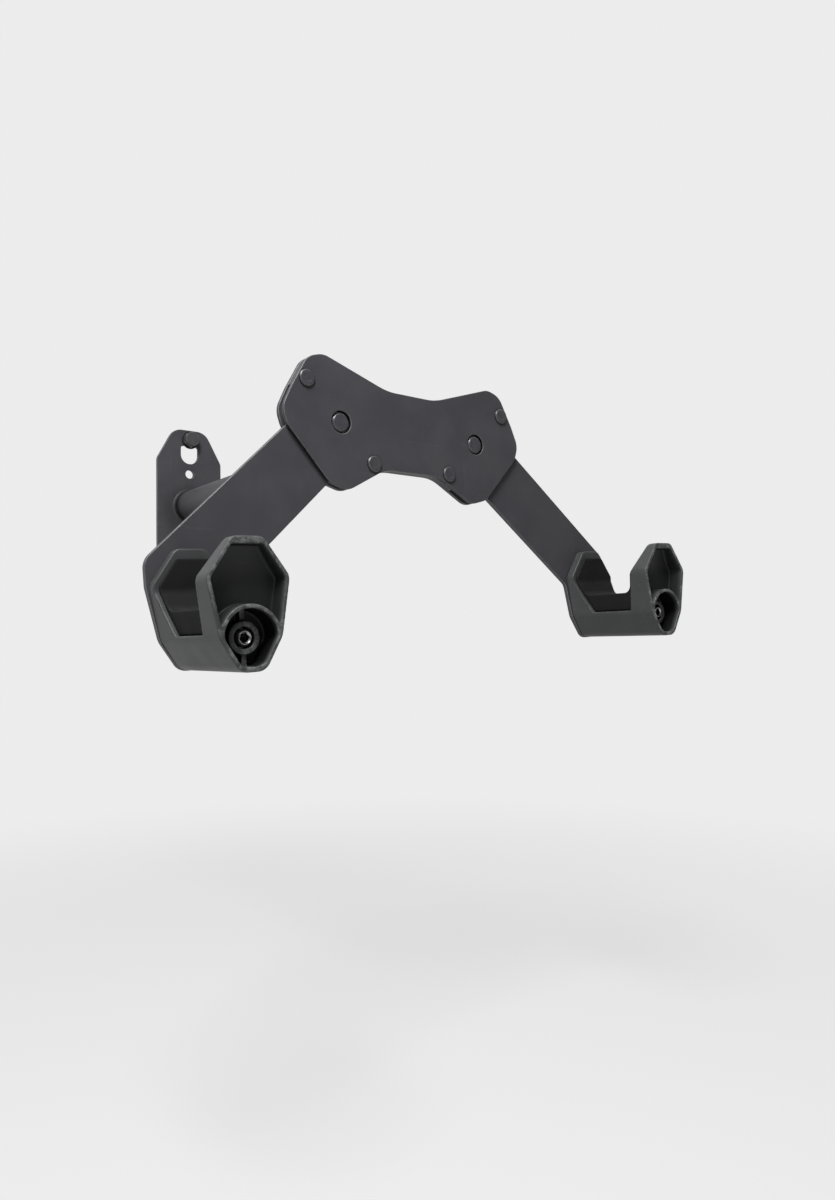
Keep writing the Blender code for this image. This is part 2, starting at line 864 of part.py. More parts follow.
def bolt_pieces(word, bolt_axis, finishes):
    """The bolt with its washer and sleeve, and the washer and nut behind the arm."""
    shank = bolt_diameter / 2
    inner = shank + seat_gap
    washer_front = saddle_rim + bolt_head_depth + bolt_head_height + seat_gap
    washer_back = washer_front + bolt_washer_thickness
    sleeve_front = washer_back + seat_gap
    rear_front = arm_back + seat_gap
    rear_back = rear_front + bolt_washer_thickness
    steel = finishes["bolt_steel"]
    pieces = [
        saddle_bolt(word, steel),
        ring(
            f"{word}_bolt_washer",
            bolt_washer_diameter / 2,
            inner,
            washer_back,
            washer_front,
            20,
            steel,
        ),
        ring(
            f"{word}_swivel_sleeve",
            sleeve_diameter / 2,
            inner,
            saddle_back,
            sleeve_front,
            20,
            finishes["bright_steel"],
        ),
        ring(
            f"{word}_rear_washer",
            rear_washer_diameter / 2,
            inner,
            rear_back,
            rear_front,
            20,
            steel,
        ),
        extruded(
            f"{word}_lock_nut",
            hexagon(nut_flats),
            [circle(0, 0, inner, 16)],
            nut_place() + nut_height,
            nut_place(),
            steel,
            edge_chamfer,
        ),
    ]
    for piece in pieces:
        place(piece, parent=bolt_axis)


def saddles_and_arms(finishes):
    block_mesh = saddle_block(finishes["moulding"])
    liner_mesh = liner(finishes["rubber"])
    rests = {-1: left_rest_drop, 1: right_rest_drop}
    bolts = {side: bolt_place(side, drop) for side, drop in rests.items()}
    slope = math.atan2(bolts[1].y - bolts[-1].y, bolts[1].x - bolts[-1].x)
    for word, side in (("left", -1), ("right", 1)):
        drop = rests[side]
        pivot = axis_empty(f"{word}_arm_axis", side * half_pivot_spacing, 0, side * drop)
        arm(word, side, pivot, finishes["steel"])
        pivot_bush(word, pivot, finishes["bush"])
        bolt_axis = axis_empty(f"{word}_bolt_axis", side * arm_reach, -arm_offset, 0, pivot)
        bolt_pieces(word, bolt_axis, finishes)
        swivel = axis_empty(f"{word}_saddle_axis", 0, 0, -slope - side * drop, bolt_axis)
        for piece, mesh in (("saddle", block_mesh), ("liner", liner_mesh)):
            obj = bpy.data.objects.new(f"{word}_{piece}", mesh)
            bpy.context.scene.collection.objects.link(obj)
            place(obj, parent=swivel)
    for name in ("saddle_block", "saddle_liner"):
        bpy.data.objects.remove(bpy.data.objects[name], do_unlink=True)


def main():
    for obj in list(bpy.data.objects):
        bpy.data.objects.remove(obj, do_unlink=True)
    finishes = {
        "steel": finish("black powder coat", (0.045, 0.044, 0.048), 0.5, 0.0),
        "rivet": finish("black rivet", (0.05, 0.05, 0.053), 0.4, 0.2),
        "moulding": finish("grey-black moulding", (0.05, 0.052, 0.053), 0.48, 0.0),
        "rubber": finish("black rubber", (0.02, 0.02, 0.02), 0.75, 0.0),
        "bolt_steel": finish("dark steel", (0.12, 0.12, 0.125), 0.28, 1.0),
        "bright_steel": finish("zinc steel", (0.5, 0.5, 0.5), 0.35, 1.0),
        "bush": finish("grey nylon", (0.35, 0.35, 0.34), 0.5, 0.0),
    }
    wall_plate(finishes["steel"])
    wall_fasteners(finishes["bolt_steel"])
    boom_tube(finishes["steel"])
    bridge_plates(finishes["steel"])
    centre_spacer(finishes["steel"])
    head_rivets(finishes["rivet"])
    pivot_rivets(finishes["rivet"])
    saddles_and_arms(finishes)


main()
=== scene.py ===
import math

import bmesh
import bpy
import numpy as np
from mathutils import Matrix, Vector
from mathutils.geometry import tessellate_polygon


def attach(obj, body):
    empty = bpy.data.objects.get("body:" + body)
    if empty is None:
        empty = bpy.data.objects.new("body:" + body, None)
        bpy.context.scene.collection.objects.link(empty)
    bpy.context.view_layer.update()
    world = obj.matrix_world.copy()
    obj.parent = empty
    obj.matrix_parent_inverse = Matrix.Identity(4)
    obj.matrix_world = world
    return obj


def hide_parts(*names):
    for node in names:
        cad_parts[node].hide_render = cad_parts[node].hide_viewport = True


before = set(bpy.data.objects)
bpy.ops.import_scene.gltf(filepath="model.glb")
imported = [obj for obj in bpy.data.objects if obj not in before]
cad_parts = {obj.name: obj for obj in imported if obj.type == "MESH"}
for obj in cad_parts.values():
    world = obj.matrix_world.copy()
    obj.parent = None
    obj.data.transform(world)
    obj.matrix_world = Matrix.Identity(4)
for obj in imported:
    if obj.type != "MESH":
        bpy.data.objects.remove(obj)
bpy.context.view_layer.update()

# A wall bracket: wall plate, boom, bow-tie head, two swinging arms and two lined saddles.
# Metres, +Y into the wall, +Z up, origin on the wall on the boom's axis.


# How deep each layer is along Y, and the places that follow from the wall forwards
layers = {"wallPlate": 0.003, "boom": 0.3244, "bridge": 0.0025, "arm": 0.003, "saddle": 0.0677}
restGap = 0.0003    # between touching faces
bothSides = (("left", -1), ("right", 1))


def inRow(start, *depths):
    # Where each layer of a row along Y starts and ends, with the rest gap between them. Negative
    # depths go forwards.
    row = []
    for depth in depths:
        row.append((start, start + depth))
        start = start + depth + math.copysign(restGap, depth)
    return row


forwards = inRow(0, *(-layers[name] for name in ("wallPlate", "boom", "bridge", "arm", "bridge")))
(_, plateFront), (boomBack, boomFront), (rearBridgeBack, rearBridgeFront) = forwards[:3]
(armBack, armFront), (frontBridgeBack, frontBridgeFront) = forwards[3:]
saddleRim = armFront - restGap - layers["saddle"]

# The viewpoint, with its turn, rise and lean in degrees from level and straight at the wall
viewpoint = {
    "place": (-0.3156, -0.7440, -0.1254), "turn": 37.64883, "rise": 2.74690, "lean": -0.93796,
    "lens": 25.7826, "sensor": 36, "shiftX": 0.003333, "nearest": 0.01,
}


def addObject(name, data):
    made = bpy.data.objects.new(name, data)
    bpy.context.scene.collection.objects.link(made)
    return made


def standAt(piece, rotation, place):
    matrix = rotation.to_4x4()
    matrix.translation = place
    piece.matrix_world = matrix


def placeCamera(view):
    turn, rise, lean = (math.radians(view[key]) for key in ("turn", "rise", "lean"))
    ahead = Vector((math.sin(turn) * math.cos(rise), math.cos(turn) * math.cos(rise), math.sin(rise)))
    level = Vector((math.cos(turn), -math.sin(turn), 0))
    upright = level.cross(ahead)
    right = level * math.cos(lean) + upright * math.sin(lean)
    up = upright * math.cos(lean) - level * math.sin(lean)
    lens = bpy.data.cameras.new("camera")
    lens.sensor_width = view["sensor"]
    lens.lens = view["lens"]
    lens.shift_x = view["shiftX"]
    lens.clip_start = view["nearest"]
    camera = addObject("camera", lens)
    standAt(camera, Matrix((right, up, -ahead)).transposed(), view["place"])
    bpy.context.scene.camera = camera


placeCamera(viewpoint)
print("camera placed")


# Short ways to add shader nodes

def setInputs(tree, node, inputs):
    # A socket is linked, and a plain value is set
    for name, value in inputs.items():
        if isinstance(value, bpy.types.NodeSocket):
            tree.links.new(value, node.inputs[name])
        else:
            node.inputs[name].default_value = value


def addNode(tree, kind, inputs=None, **settings):
    made = tree.nodes.new("ShaderNode" + kind)
    for name, value in settings.items():
        setattr(made, name, value)
    setInputs(tree, made, inputs or {})
    return made.outputs


def mathNode(tree, operation, first, second=0.0, third=0.0, clamp=False):
    return addNode(tree, "Math", {0: first, 1: second, 2: third}, operation=operation, use_clamp=clamp)[0]


def noise(tree, place, scale, detail, roughness):
    inputs = {"Vector": place, "Scale": scale, "Detail": detail, "Roughness": roughness}
    return addNode(tree, "TexNoise", inputs)["Fac"]


def stepBetween(tree, value, low, high):
    # Nought at low, one at high, and an even S between them
    inputs = {"Value": value, "From Min": low, "From Max": high}
    return addNode(tree, "MapRange", inputs, interpolation_type="SMOOTHSTEP")["Result"]


def distanceAway(tree, place, shift, stretch):
    moved = addNode(tree, "Mapping", {"Vector": place, "Location": shift, "Scale": stretch})[0]
    return addNode(tree, "VectorMath", {0: moved}, operation="LENGTH")["Value"]


def newMaterial(name):
    material = bpy.data.materials.new(name)
    material.use_nodes = True
    tree = material.node_tree
    return material, tree, tree.nodes["Principled BSDF"]


def newGroup(name, vectors, numbers, effect):
    # A node group with these inputs, and with what the effect gives as its outputs
    tree = bpy.data.node_groups.new(name, "ShaderNodeTree")
    for sockets, kind in ((vectors, "Vector"), (numbers, "Float")):
        for socket in sockets:
            tree.interface.new_socket(name=socket, in_out="INPUT", socket_type="NodeSocket" + kind)
    masks = effect(tree, tree.nodes.new("NodeGroupInput").outputs, effects)
    for socket in masks:
        tree.interface.new_socket(name=socket, in_out="OUTPUT", socket_type="NodeSocketFloat")
    setInputs(tree, tree.nodes.new("NodeGroupOutput"), masks)
    return tree


# The effects that the finishes share. Their number inputs bear the names of a look's values.

effects = {
    # noise detail and roughness
    "patches": (4, 0.65), "pebbles": (3, 0.55), "slow": (4, 0.6), "specks": (6, 0.75),
    "rubs": (2, 0.5), "patchSpread": 1.3, "wearAndGlintContrast": 3, "toneEnds": (0.32, 0.68),
    "upEnds": (0.25, 1), "speckScale": 420, "speckEnds": (0.38, 0.72), "rubEnds": (0.66, 0.74),
    # turn about Y and stretch of the rubs' two directions
    "rubWays": ((0.5, (0.1, 1, 1)), (-0.9, (1, 1, 0.08))),
}


def wearAndGlintEffect(tree, start, values):
    # Worn where the edge attribute is high, broken up by patches of noise; this lightening is edge wear and
    # painted highlight
    patches = noise(tree, start["position"], start["wearAndGlintScale"], *values["patches"])
    spread = mathNode(tree, "MULTIPLY_ADD", patches, values["patchSpread"], -values["patchSpread"] / 2)
    raised = mathNode(tree, "ADD", start["edge"], spread)
    over = mathNode(tree, "SUBTRACT", raised, mathNode(tree, "SUBTRACT", 1.0, start["wear"]))
    return {"mask": mathNode(tree, "MULTIPLY", over, values["wearAndGlintContrast"], clamp=True)}


def grainEffect(tree, start, values):
    # A fine pebbled skin, with a slow change of tone over it
    pebbles = noise(tree, start["position"], start["grainScale"], *values["pebbles"])
    slow = noise(tree, start["position"], start["toneScale"], *values["slow"])
    return {"height": pebbles, "tone": stepBetween(tree, slow, *values["toneEnds"])}


def dustEffect(tree, start, values):
    # Dust lies on what faces up, thinner where the noise is low
    height = addNode(tree, "SeparateXYZ", {0: start["facing"]})[2]
    specks = noise(tree, start["position"], values["speckScale"], *values["specks"])
    clumps = stepBetween(tree, specks, *values["speckEnds"])
    lying = mathNode(tree, "MULTIPLY", stepBetween(tree, height, *values["upEnds"]), clumps)
    return {"mask": mathNode(tree, "MULTIPLY", lying, start["dust"], clamp=True)}


def scuffEffect(tree, start, values):
    # Short light rubs: noise drawn out along two slanted directions, cut off high up
    parts = []
    for turn, stretch in values["rubWays"]:
        inputs = {"Vector": start["position"], "Rotation": (0, turn, 0), "Scale": stretch}
        lines = noise(tree, addNode(tree, "Mapping", inputs)[0], start["scuffScale"], *values["rubs"])
        parts.append(stepBetween(tree, lines, *values["rubEnds"]))
    both = mathNode(tree, "MAXIMUM", *parts)
    return {"mask": mathNode(tree, "MULTIPLY", both, start["scuffs"], clamp=True)}


# Edge wear, which also paints highlights along edges
edgeWearAndGlint = newGroup("edge wear and glint", ["position"], ["edge", "wearAndGlintScale", "wear"], wearAndGlintEffect)
fineGrain = newGroup("fine grain", ["position"], ["grainScale", "toneScale"], grainEffect)
settledDust = newGroup("settled dust", ["position", "facing"], ["dust"], dustEffect)
lightScuffs = newGroup("light scuffs", ["position"], ["scuffScale", "scuffs"], scuffEffect)


def addGroup(tree, group, values):
    wanted = [socket.name for socket in group.interface.items_tree if socket.in_out == "INPUT"]
    return addNode(tree, "Group", {name: values[name] for name in wanted}, node_tree=group)


def paintedShadowHalo(tree, values):
    # Painted shadow on the front, round an axis a little below the boom's, fainter with the distance from it
    away = distanceAway(tree, values["position"], (0, 0, values["haloDrop"]), (1, 0, 1))
    near = stepBetween(tree, away, values["haloReach"], values["haloStart"])
    depth = addNode(tree, "SeparateXYZ", {0: values["facing"]})[1]
    front = stepBetween(tree, depth, values["haloFacing"], -values["haloFacing"])
    return mathNode(tree, "MULTIPLY", mathNode(tree, "MULTIPLY", near, front), values["halo"])


def surfaceFinish(name, look):
    # Two tones under scuffs, worn edges that are also painted highlights, dust and painted shade, over a fine
    # grain
    material, tree, shader = newMaterial(name)
    edge, seam = (addNode(tree, "Attribute", attribute_name=kind)["Fac"] for kind in ("edge", "seam"))
    values = look | {
        "position": addNode(tree, "TexCoord")["Object"], "facing": addNode(tree, "NewGeometry")["Normal"],
        "edge": edge,
    }
    grain = addGroup(tree, fineGrain, values)
    groups = (edgeWearAndGlint, settledDust, lightScuffs)
    wornAndGlint, dust, rubs = (addGroup(tree, group, values)["mask"] for group in groups)
    # The wall plate's painted shadow joins the painted shade
    if "halo" in look:
        seam = mathNode(tree, "MAXIMUM", seam, paintedShadowHalo(tree, values))
    colour = (*look["colour"], 1.0)
    coats = (
        (grain["tone"], "secondColour"), (rubs, "wornAndGlintColour"), (wornAndGlint, "wornAndGlintColour"), (dust, "dustColour"),
        (seam, "paintedShadeColour"),
    )
    for mask, key in coats:
        colour = addNode(tree, "Mix", {0: mask, 6: colour, 7: (*look[key], 1.0)}, data_type="RGBA")[2]
    rough = look["roughness"]
    for mask, key in ((grain["tone"], "roughSpread"), (rubs, "scuffRough"), (dust, "dustRough")):
        rough = mathNode(tree, "MULTIPLY_ADD", mask, look[key], rough)
    bumpInputs = {"Height": grain["height"], "Strength": look["bump"], "Distance": look["bumpDepth"]}
    setInputs(tree, shader, {
        "Base Color": colour, "Roughness": rough, "Metallic": look["metallic"],
        "Specular IOR Level": look["specular"], "Normal": addNode(tree, "Bump", bumpInputs)[0],
    })
    material.diffuse_color = (*look["colour"], 1.0)
    return material


# The looks: a painted coat, small steel pieces, and what differs from them

# The darkest colour is painted shade for hollows, gaps and joins; the worn colour lightens edges and faces
# both as wear and as painted highlight
coat = {
    "slot": "powder_coat", "colour": (0.0445, 0.0435, 0.05), "secondColour": (0.0515, 0.0505, 0.057),
    "wornAndGlintColour": (0.12, 0.119, 0.123), "paintedShadeColour": (0.006, 0.006, 0.006),
    "dustColour": (0.11, 0.107, 0.105), "roughness": 0.46, "roughSpread": 0.08, "scuffRough": -0.1,
    "dustRough": 0.3, "metallic": 0, "specular": 0.4, "grainScale": 1500, "toneScale": 38,
    "wearAndGlintScale": 160, "wear": 0.42, "scuffScale": 260, "scuffs": 0.1, "dust": 0.28, "bump": 0.28,
    "bumpDepth": 0.00006,
}
smallSteel = coat | {
    "slot": "dark_steel", "roughSpread": 0.1, "scuffRough": 0.1, "toneScale": 300, "wearAndGlintScale": 500,
    "wear": 0.3, "dust": 0.1, "bump": 0.15, "bumpDepth": 0.00003,
}
looks = {
    "powderCoat": coat,
    # The moulding's worn colour is light: it paints the rims' sheen as well as wear
    "moulding": coat | {
        "slot": "moulding", "colour": (0.0425, 0.044, 0.0447), "secondColour": (0.0505, 0.052, 0.0527),
        "wornAndGlintColour": (0.165, 0.167, 0.168), "paintedShadeColour": (0.004, 0.004, 0.004), "roughness": 0.4,
        "scuffRough": 0.1, "specular": 0.25, "grainScale": 2600, "toneScale": 60, "wearAndGlintScale": 240,
        "scuffScale": 330, "scuffs": 0.12, "dust": 0.35, "bump": 0.35, "bumpDepth": 0.00005,
    },
    # The rubber is darkened past its own black as painted shade for where a resting tube shades it
    "rubber": coat | {
        "slot": "rubber", "colour": (0.0048, 0.0048, 0.005), "secondColour": (0.008, 0.008, 0.0084),
        "wornAndGlintColour": (0.035, 0.035, 0.035), "dustColour": (0.07, 0.069, 0.067), "roughness": 0.72,
        "roughSpread": 0.12, "scuffRough": 0.05, "specular": 0.2, "grainScale": 1900, "toneScale": 90,
        "wearAndGlintScale": 300, "wear": 0.25, "scuffScale": 420, "scuffs": 0.15, "dust": 0.22, "bump": 0.4,
    },
    "rivetCoat": coat | {
        "slot": "rivet", "roughness": 0.32, "scuffRough": -0.05, "specular": 0.45, "grainScale": 1800,
        "toneScale": 220, "wearAndGlintScale": 500, "wear": 0.3, "scuffScale": 700, "dust": 0.25,
        "bump": 0.22, "bumpDepth": 0.00005,
    },
    "darkScrew": smallSteel | {
        "colour": (0.046, 0.046, 0.049), "secondColour": (0.055, 0.055, 0.058),
        "wornAndGlintColour": (0.11, 0.11, 0.113), "roughness": 0.44, "grainScale": 1800, "toneScale": 200,
        "wearAndGlintScale": 400, "scuffScale": 600, "dust": 0.12,
    },
    "boltSteel": smallSteel | {
        "colour": (0.31, 0.31, 0.315), "secondColour": (0.39, 0.39, 0.395), "wornAndGlintColour": (0.66, 0.66, 0.67),
        "dustColour": (0.16, 0.155, 0.15), "roughness": 0.27, "metallic": 1, "specular": 0.5,
        "grainScale": 2400, "toneScale": 400, "wearAndGlintScale": 700, "wear": 0.15, "scuffScale": 900,
        "scuffs": 0.3,
    },
    "zincSteel": smallSteel | {
        "slot": "zinc_steel", "colour": (0.42, 0.42, 0.41), "secondColour": (0.52, 0.52, 0.5),
        "wornAndGlintColour": (0.62, 0.62, 0.6), "dustColour": (0.2, 0.195, 0.19), "roughness": 0.3,
        "roughSpread": 0.14, "metallic": 1, "specular": 0.5, "grainScale": 2200, "wear": 0.4,
        "scuffScale": 800, "scuffs": 0.3, "dust": 0.15, "bump": 0.2,
    },
    # Near black, much darker than the other small steel pieces
    "nearBlackWasher": smallSteel | {
        "colour": (0.007, 0.007, 0.0075), "secondColour": (0.01, 0.01, 0.0105),
        "wornAndGlintColour": (0.03, 0.03, 0.03), "dustColour": (0.06, 0.059, 0.057), "roughSpread": 0.12,
        "specular": 0.3, "grainScale": 2000, "scuffScale": 700,
    },
    "greyNylon": smallSteel | {
        "slot": "bush", "colour": (0.3, 0.3, 0.29), "secondColour": (0.35, 0.35, 0.34),
        "wornAndGlintColour": (0.42, 0.42, 0.4), "dustColour": (0.2, 0.195, 0.19), "specular": 0.5,
        "grainScale": 2200, "scuffScale": 800, "scuffs": 0.2, "dust": 0.2, "bump": 0.2,
    },
    # The wall plate's coat also paints a shadow on the plate's front round the boom's foot
    "wallCoatAndShadow": coat | {
        "halo": 0.6, "haloStart": 0.013, "haloReach": 0.036, "haloDrop": 0.01, "haloFacing": 0.5,
    },
}
finishes = {name: surfaceFinish(name, look) for name, look in looks.items()}
print("finishes made")


# Outlines, and surfaces carried along them or turned round an axis

meshing = {
    "mergeWithin": 2e-7, "dissolveWithin": 1e-7, "sharpTurn": math.radians(40), "onAxis": 1e-5,
    "quarterPoints": 6, "profileStep": 15, "ringSides": 64, "turnToMark": 2.0, "shadeFade": 0.0002,
    "cornerFade": 3, "undersideShadeGain": 1.5,
}


def roundedOutline(corners, step=5):
    # Through (x, z, radius) corners, anticlockwise. A corner is an arc: centre plus radius times a
    # direction that turns evenly from one side's outward direction to the next, in steps of at most
    # these degrees. Rows of x, z, outX, outZ.
    rows = []
    spots = [Vector(corner[:2]) for corner in corners]
    for index, corner in enumerate(corners):
        wayIn = (spots[index] - spots[index - 1]).normalized()
        wayOut = (spots[(index + 1) % len(spots)] - spots[index]).normalized()
        turn = math.atan2(wayIn.x * wayOut.y - wayIn.y * wayOut.x, wayIn.dot(wayOut))
        radius = max(corner[2], 1e-6)
        signed = math.copysign(radius, turn)
        first = math.atan2(-wayIn.x, wayIn.y)
        start = spots[index] - wayIn * radius * math.tan(abs(turn) / 2)
        centre = start - Vector((math.cos(first), math.sin(first))) * signed
        angles = first + np.linspace(0, turn, max(2, math.ceil(abs(turn) / math.radians(step))) + 1)
        if corner[2] == 0:
            angles = angles[[0, -1]]
        outX, outZ = np.cos(angles), np.sin(angles)
        rows.append(np.stack([centre.x + signed * outX, centre.y + signed * outZ, outX, outZ], axis=1))
    return np.concatenate(rows)


def mirrored(half):
    # The right half's corners and then the left half's
    return half + [(-x, z, radius) for x, z, radius in reversed(half)]


def circleOutline(x, z, radius, count=64):
    # Centre plus radius times (cos, sin) of evenly spread angles
    angles = np.arange(count) * math.tau / count
    outX, outZ = np.cos(angles), np.sin(angles)
    return np.stack([x + radius * outX, z + radius * outZ, outX, outZ], axis=1)


def turnedAboutY(points, angle):
    # A positive angle lowers +X
    x, y, z = points.T
    cosine, sine = math.cos(angle), math.sin(angle)
    return np.stack([x * cosine + z * sine, y, z * cosine - x * sine], axis=1)


def placed(points, normals, angle, x, z):
    return turnedAboutY(points, angle) + (x, 0, z), turnedAboutY(normals, angle)


def gridPoints(x, y, z):
    return np.stack(np.broadcast_arrays(x, y, z), axis=-1).reshape(-1, 3)


def addPiece(name, finish, body, points, quads, triangles=(), normals=None, edge=None, seam=None, node=None):
    # A piece of these faces. Its seams and poles are closed and its faces point out. Where no
    # normals are given, it is smooth but for the edges where its faces turn sharply. Where no node is
    # given, the piece's name in small letters is its node's: leftArm stands for left_arm.
    mesh = bpy.data.meshes.new(name)
    corners = np.concatenate([np.ravel(quads), np.ravel(triangles)]).astype(np.int32)
    sizes = np.concatenate([np.full(len(quads), 4), np.full(len(triangles), 3)])
    mesh.vertices.add(len(points))
    mesh.vertices.foreach_set("co", np.ravel(points).astype(np.float32))
    mesh.loops.add(len(corners))
    mesh.loops.foreach_set("vertex_index", corners)
    mesh.polygons.add(len(sizes))
    mesh.polygons.foreach_set("loop_start", (np.cumsum(sizes) - sizes).astype(np.int32))
    mesh.update(calc_edges=True)
    kinds = (
        ("edge", "FLOAT", "value", edge), ("seam", "FLOAT", "value", seam),
        ("facing", "FLOAT_VECTOR", "vector", normals),
    )
    for kind, form, key, values in kinds:
        if values is not None:
            made = mesh.attributes.new(kind, form, "POINT")
            made.data.foreach_set(key, np.ravel(values).astype(np.float32))
    work = bmesh.new()
    work.from_mesh(mesh)
    bmesh.ops.remove_doubles(work, verts=work.verts, dist=meshing["mergeWithin"])
    bmesh.ops.dissolve_degenerate(work, edges=work.edges, dist=meshing["dissolveWithin"])
    bmesh.ops.recalc_face_normals(work, faces=work.faces)
    work.to_mesh(mesh)
    work.free()
    mesh.shade_smooth()
    if normals is None:
        mesh.set_sharp_from_angle(angle=meshing["sharpTurn"])
    else:
        stored = np.empty(len(mesh.vertices) * 3, np.float32)
        mesh.attributes["facing"].data.foreach_get("vector", stored)
        mesh.attributes.remove(mesh.attributes["facing"])
        stored = stored.reshape(-1, 3)
        length = np.maximum(np.linalg.norm(stored, axis=1, keepdims=True), 1e-9)
        mesh.normals_split_custom_set_from_vertices(stored / length)
    mesh.materials.append(finishes[finish])
    piece = addObject(name, mesh)
    small = "".join("_" + letter.lower() if letter.isupper() else letter for letter in name)
    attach(piece, body)
    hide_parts(node or small)


def ringFaces(rings, count, start=0):
    # Quads between neighbouring rings of count points, each ring closed on itself
    row = np.arange(rings - 1)[:, None] * count
    here = np.arange(count)[None, :]
    after = (here + 1) % count
    quads = np.stack([row + here, row + after, row + count + after, row + count + here], axis=-1)
    return quads.reshape(-1, 4) + start


def makePlate(
    name, finish, outline, holes, back, front, soft,
    body="bracket", angle=0.0, x=0.0, undersideShade=0.0, node=None,
):
    # The edge profile runs from the back face round a quarter circle, along the wall and round
    # another one: inset = soft (1 - cos t), depth = soft (1 - sin t). It is carried along each loop.
    # Painted shade darkens the walls of holes, and walls that face down by the underside share.
    quarter = np.linspace(0, math.pi / 2, meshing["quarterPoints"])
    turns = np.concatenate([quarter[::-1], quarter])[:, None]
    way = np.repeat([1, -1], len(quarter))[:, None]
    wall, lean = np.cos(turns), way * np.sin(turns)
    inset = soft * (1 - wall)
    depth = np.where(way > 0, back, front) - way * soft * (1 - np.sin(turns))
    rings = len(turns)
    parts, caps, start = [], [], 0
    for loop, grows in [(outline, -1)] + [(hole, 1) for hole in holes]:
        across, up, outX, outZ = loop.T
        count = len(loop)
        down = np.clip(-meshing["undersideShadeGain"] * outZ, 0, 1)
        shadeShare = undersideShade * down if grows < 0 else np.ones(count)
        parts.append((
            gridPoints(across + grows * inset * outX, depth, up + grows * inset * outZ),
            gridPoints(-grows * outX * wall, lean, -grows * outZ * wall),
            np.repeat(np.sin(2 * turns), count),
            np.ravel(np.clip(1 - meshing["cornerFade"] * (1 - wall), 0, 1) * shadeShare),
            ringFaces(rings, count, start),
        ))
        caps.append(start + np.arange(count))
        start += rings * count
    points, normals, marks, shadeMarks, quads = (np.concatenate(part) for part in zip(*parts))
    filled = tessellate_polygon([[Vector((across, up, 0)) for across, _, up in points[cap]] for cap in caps])
    fronts = np.concatenate([cap + (rings - 1) * len(cap) for cap in caps])
    triangles = np.concatenate([np.concatenate(caps)[np.array(filled)], fronts[np.array(filled)]])
    points, normals = placed(points, normals, angle, x, 0.0)
    addPiece(name, finish, body, points, quads, triangles, normals, marks, shadeMarks, node)


def turnedSurface(profile, count, ripple=None):
    # A (radius, y) profile turned round Y: x = radius cos a, z = radius sin a. The radius may also
    # change with the angle, through ripple(angle, radius, y).
    angles = np.arange(count) * math.tau / count
    radius, along, out, lean = (column[:, None] for column in profile.T)
    atAxis = radius < meshing["onAxis"]
    out, lean = np.where(atAxis, 0, out), np.where(atAxis, np.sign(lean), lean)
    if ripple:
        radius = ripple(angles, radius, along)
    points = gridPoints(radius * np.cos(angles), along, radius * np.sin(angles))
    normals = gridPoints(out * np.cos(angles), lean, out * np.sin(angles))
    return points, normals, ringFaces(len(profile), count)


def makeTurned(
    name, finish, corners, count,
    body="bracket", angle=0.0, x=0.0, z=0.0, closed=False, ripple=None, shadeFrom=None,
):
    # Turns a profile of (radius, y, softness) corners, given anticlockwise with radius across and y up.
    # A closed profile is a ring's. Painted shade darkens what lies behind the given depth and fades out in
    # front of it.
    profile = roundedOutline(corners, meshing["profileStep"])
    arcs = np.concatenate([[0], np.linalg.norm(np.diff(profile[:, 2:], axis=0), axis=1)])
    marks = np.clip((arcs + np.roll(arcs, -1)) * meshing["turnToMark"], 0, 1)
    marks = marks * (profile[:, 0] > meshing["onAxis"])
    if closed:
        profile, marks = np.concatenate([profile, profile[:1]]), np.concatenate([marks, marks[:1]])
    points, normals, quads = turnedSurface(profile, count, ripple)
    points, normals = placed(points, normals, angle, x, z)
    seam = None
    if shadeFrom is not None:
        seam = np.repeat(np.clip((profile[:, 1] - shadeFrom) / meshing["shadeFade"] + 1, 0, 1), count)
    normals = None if ripple else normals
    addPiece(name, finish, body, points, quads, (), normals, np.repeat(marks, count), seam)


def makeRing(name, finish, outer, inner, back, front, soft, **where):
    corners = [(outer, front, soft), (outer, back, soft), (inner, back, soft), (inner, front, soft)]
    makeTurned(name, finish, corners, meshing["ringSides"], closed=True, **where)


def cornersFrom(rows, start):
    # Rows of radius, depth behind the start and softness as corners of a turned profile
    return [(radius, start + depth, soft) for radius, depth, soft in rows]


def hexRadius(angles, apothem):
    # The distance from a hexagon's middle to its side at this angle
    return apothem / np.cos((angles + math.pi / 6) % (math.pi / 3) - math.pi / 6)


def sixSided(flats):
    # Half the flats, the corners' radius, and a ripple that cuts a turned piece down to the hexagon
    reach = flats / 2

    def cut(angles, radius, along):
        return np.minimum(radius, hexRadius(angles, reach))

    return reach, reach / math.cos(math.pi / 6), cut


print("helpers ready")


# The wall plate, its screws and washers

wallPlate = {
    # half width, height and radius of the upper corners and of the keyhole's
    "shoulders": [(0.0305, 0.0425, 0.008), (0.015, 0.0708, 0.013)],
    "keyhole": [
        (0.0082, 0.0399, 0.0082), (0.0082, 0.0562, 0.0025), (0.0044, 0.0562, 0.001), (0.0044, 0.0660, 0.0044),
    ],
    # height and radius of the spare hole and the lower screw's
    "roundHoles": [(0.0304, 0.00385), (-0.0545, 0.0044)],
    "screws": {"upper": 0.0616, "lower": -0.0545}, "soft": 0.0005,
}
wallScrew = {
    "flats": 0.013, "head": 0.0055, "faceShare": 0.93, "chamfer": 0.0012, "shank": 0.004,
    "washerRadius": 0.008, "washer": 0.0016, "washerSoft": 0.0003,
    "sides": 96,
}


def makeWallPlate(plate):
    top = mirrored(plate["shoulders"])
    outline = roundedOutline(top + [(-x, -z, radius) for x, z, radius in top])
    holes = [roundedOutline(mirrored(plate["keyhole"]))]
    holes += [circleOutline(0, height, radius) for height, radius in plate["roundHoles"]]
    makePlate("wallPlate", "wallCoatAndShadow", outline, holes, 0, plateFront, plate["soft"])


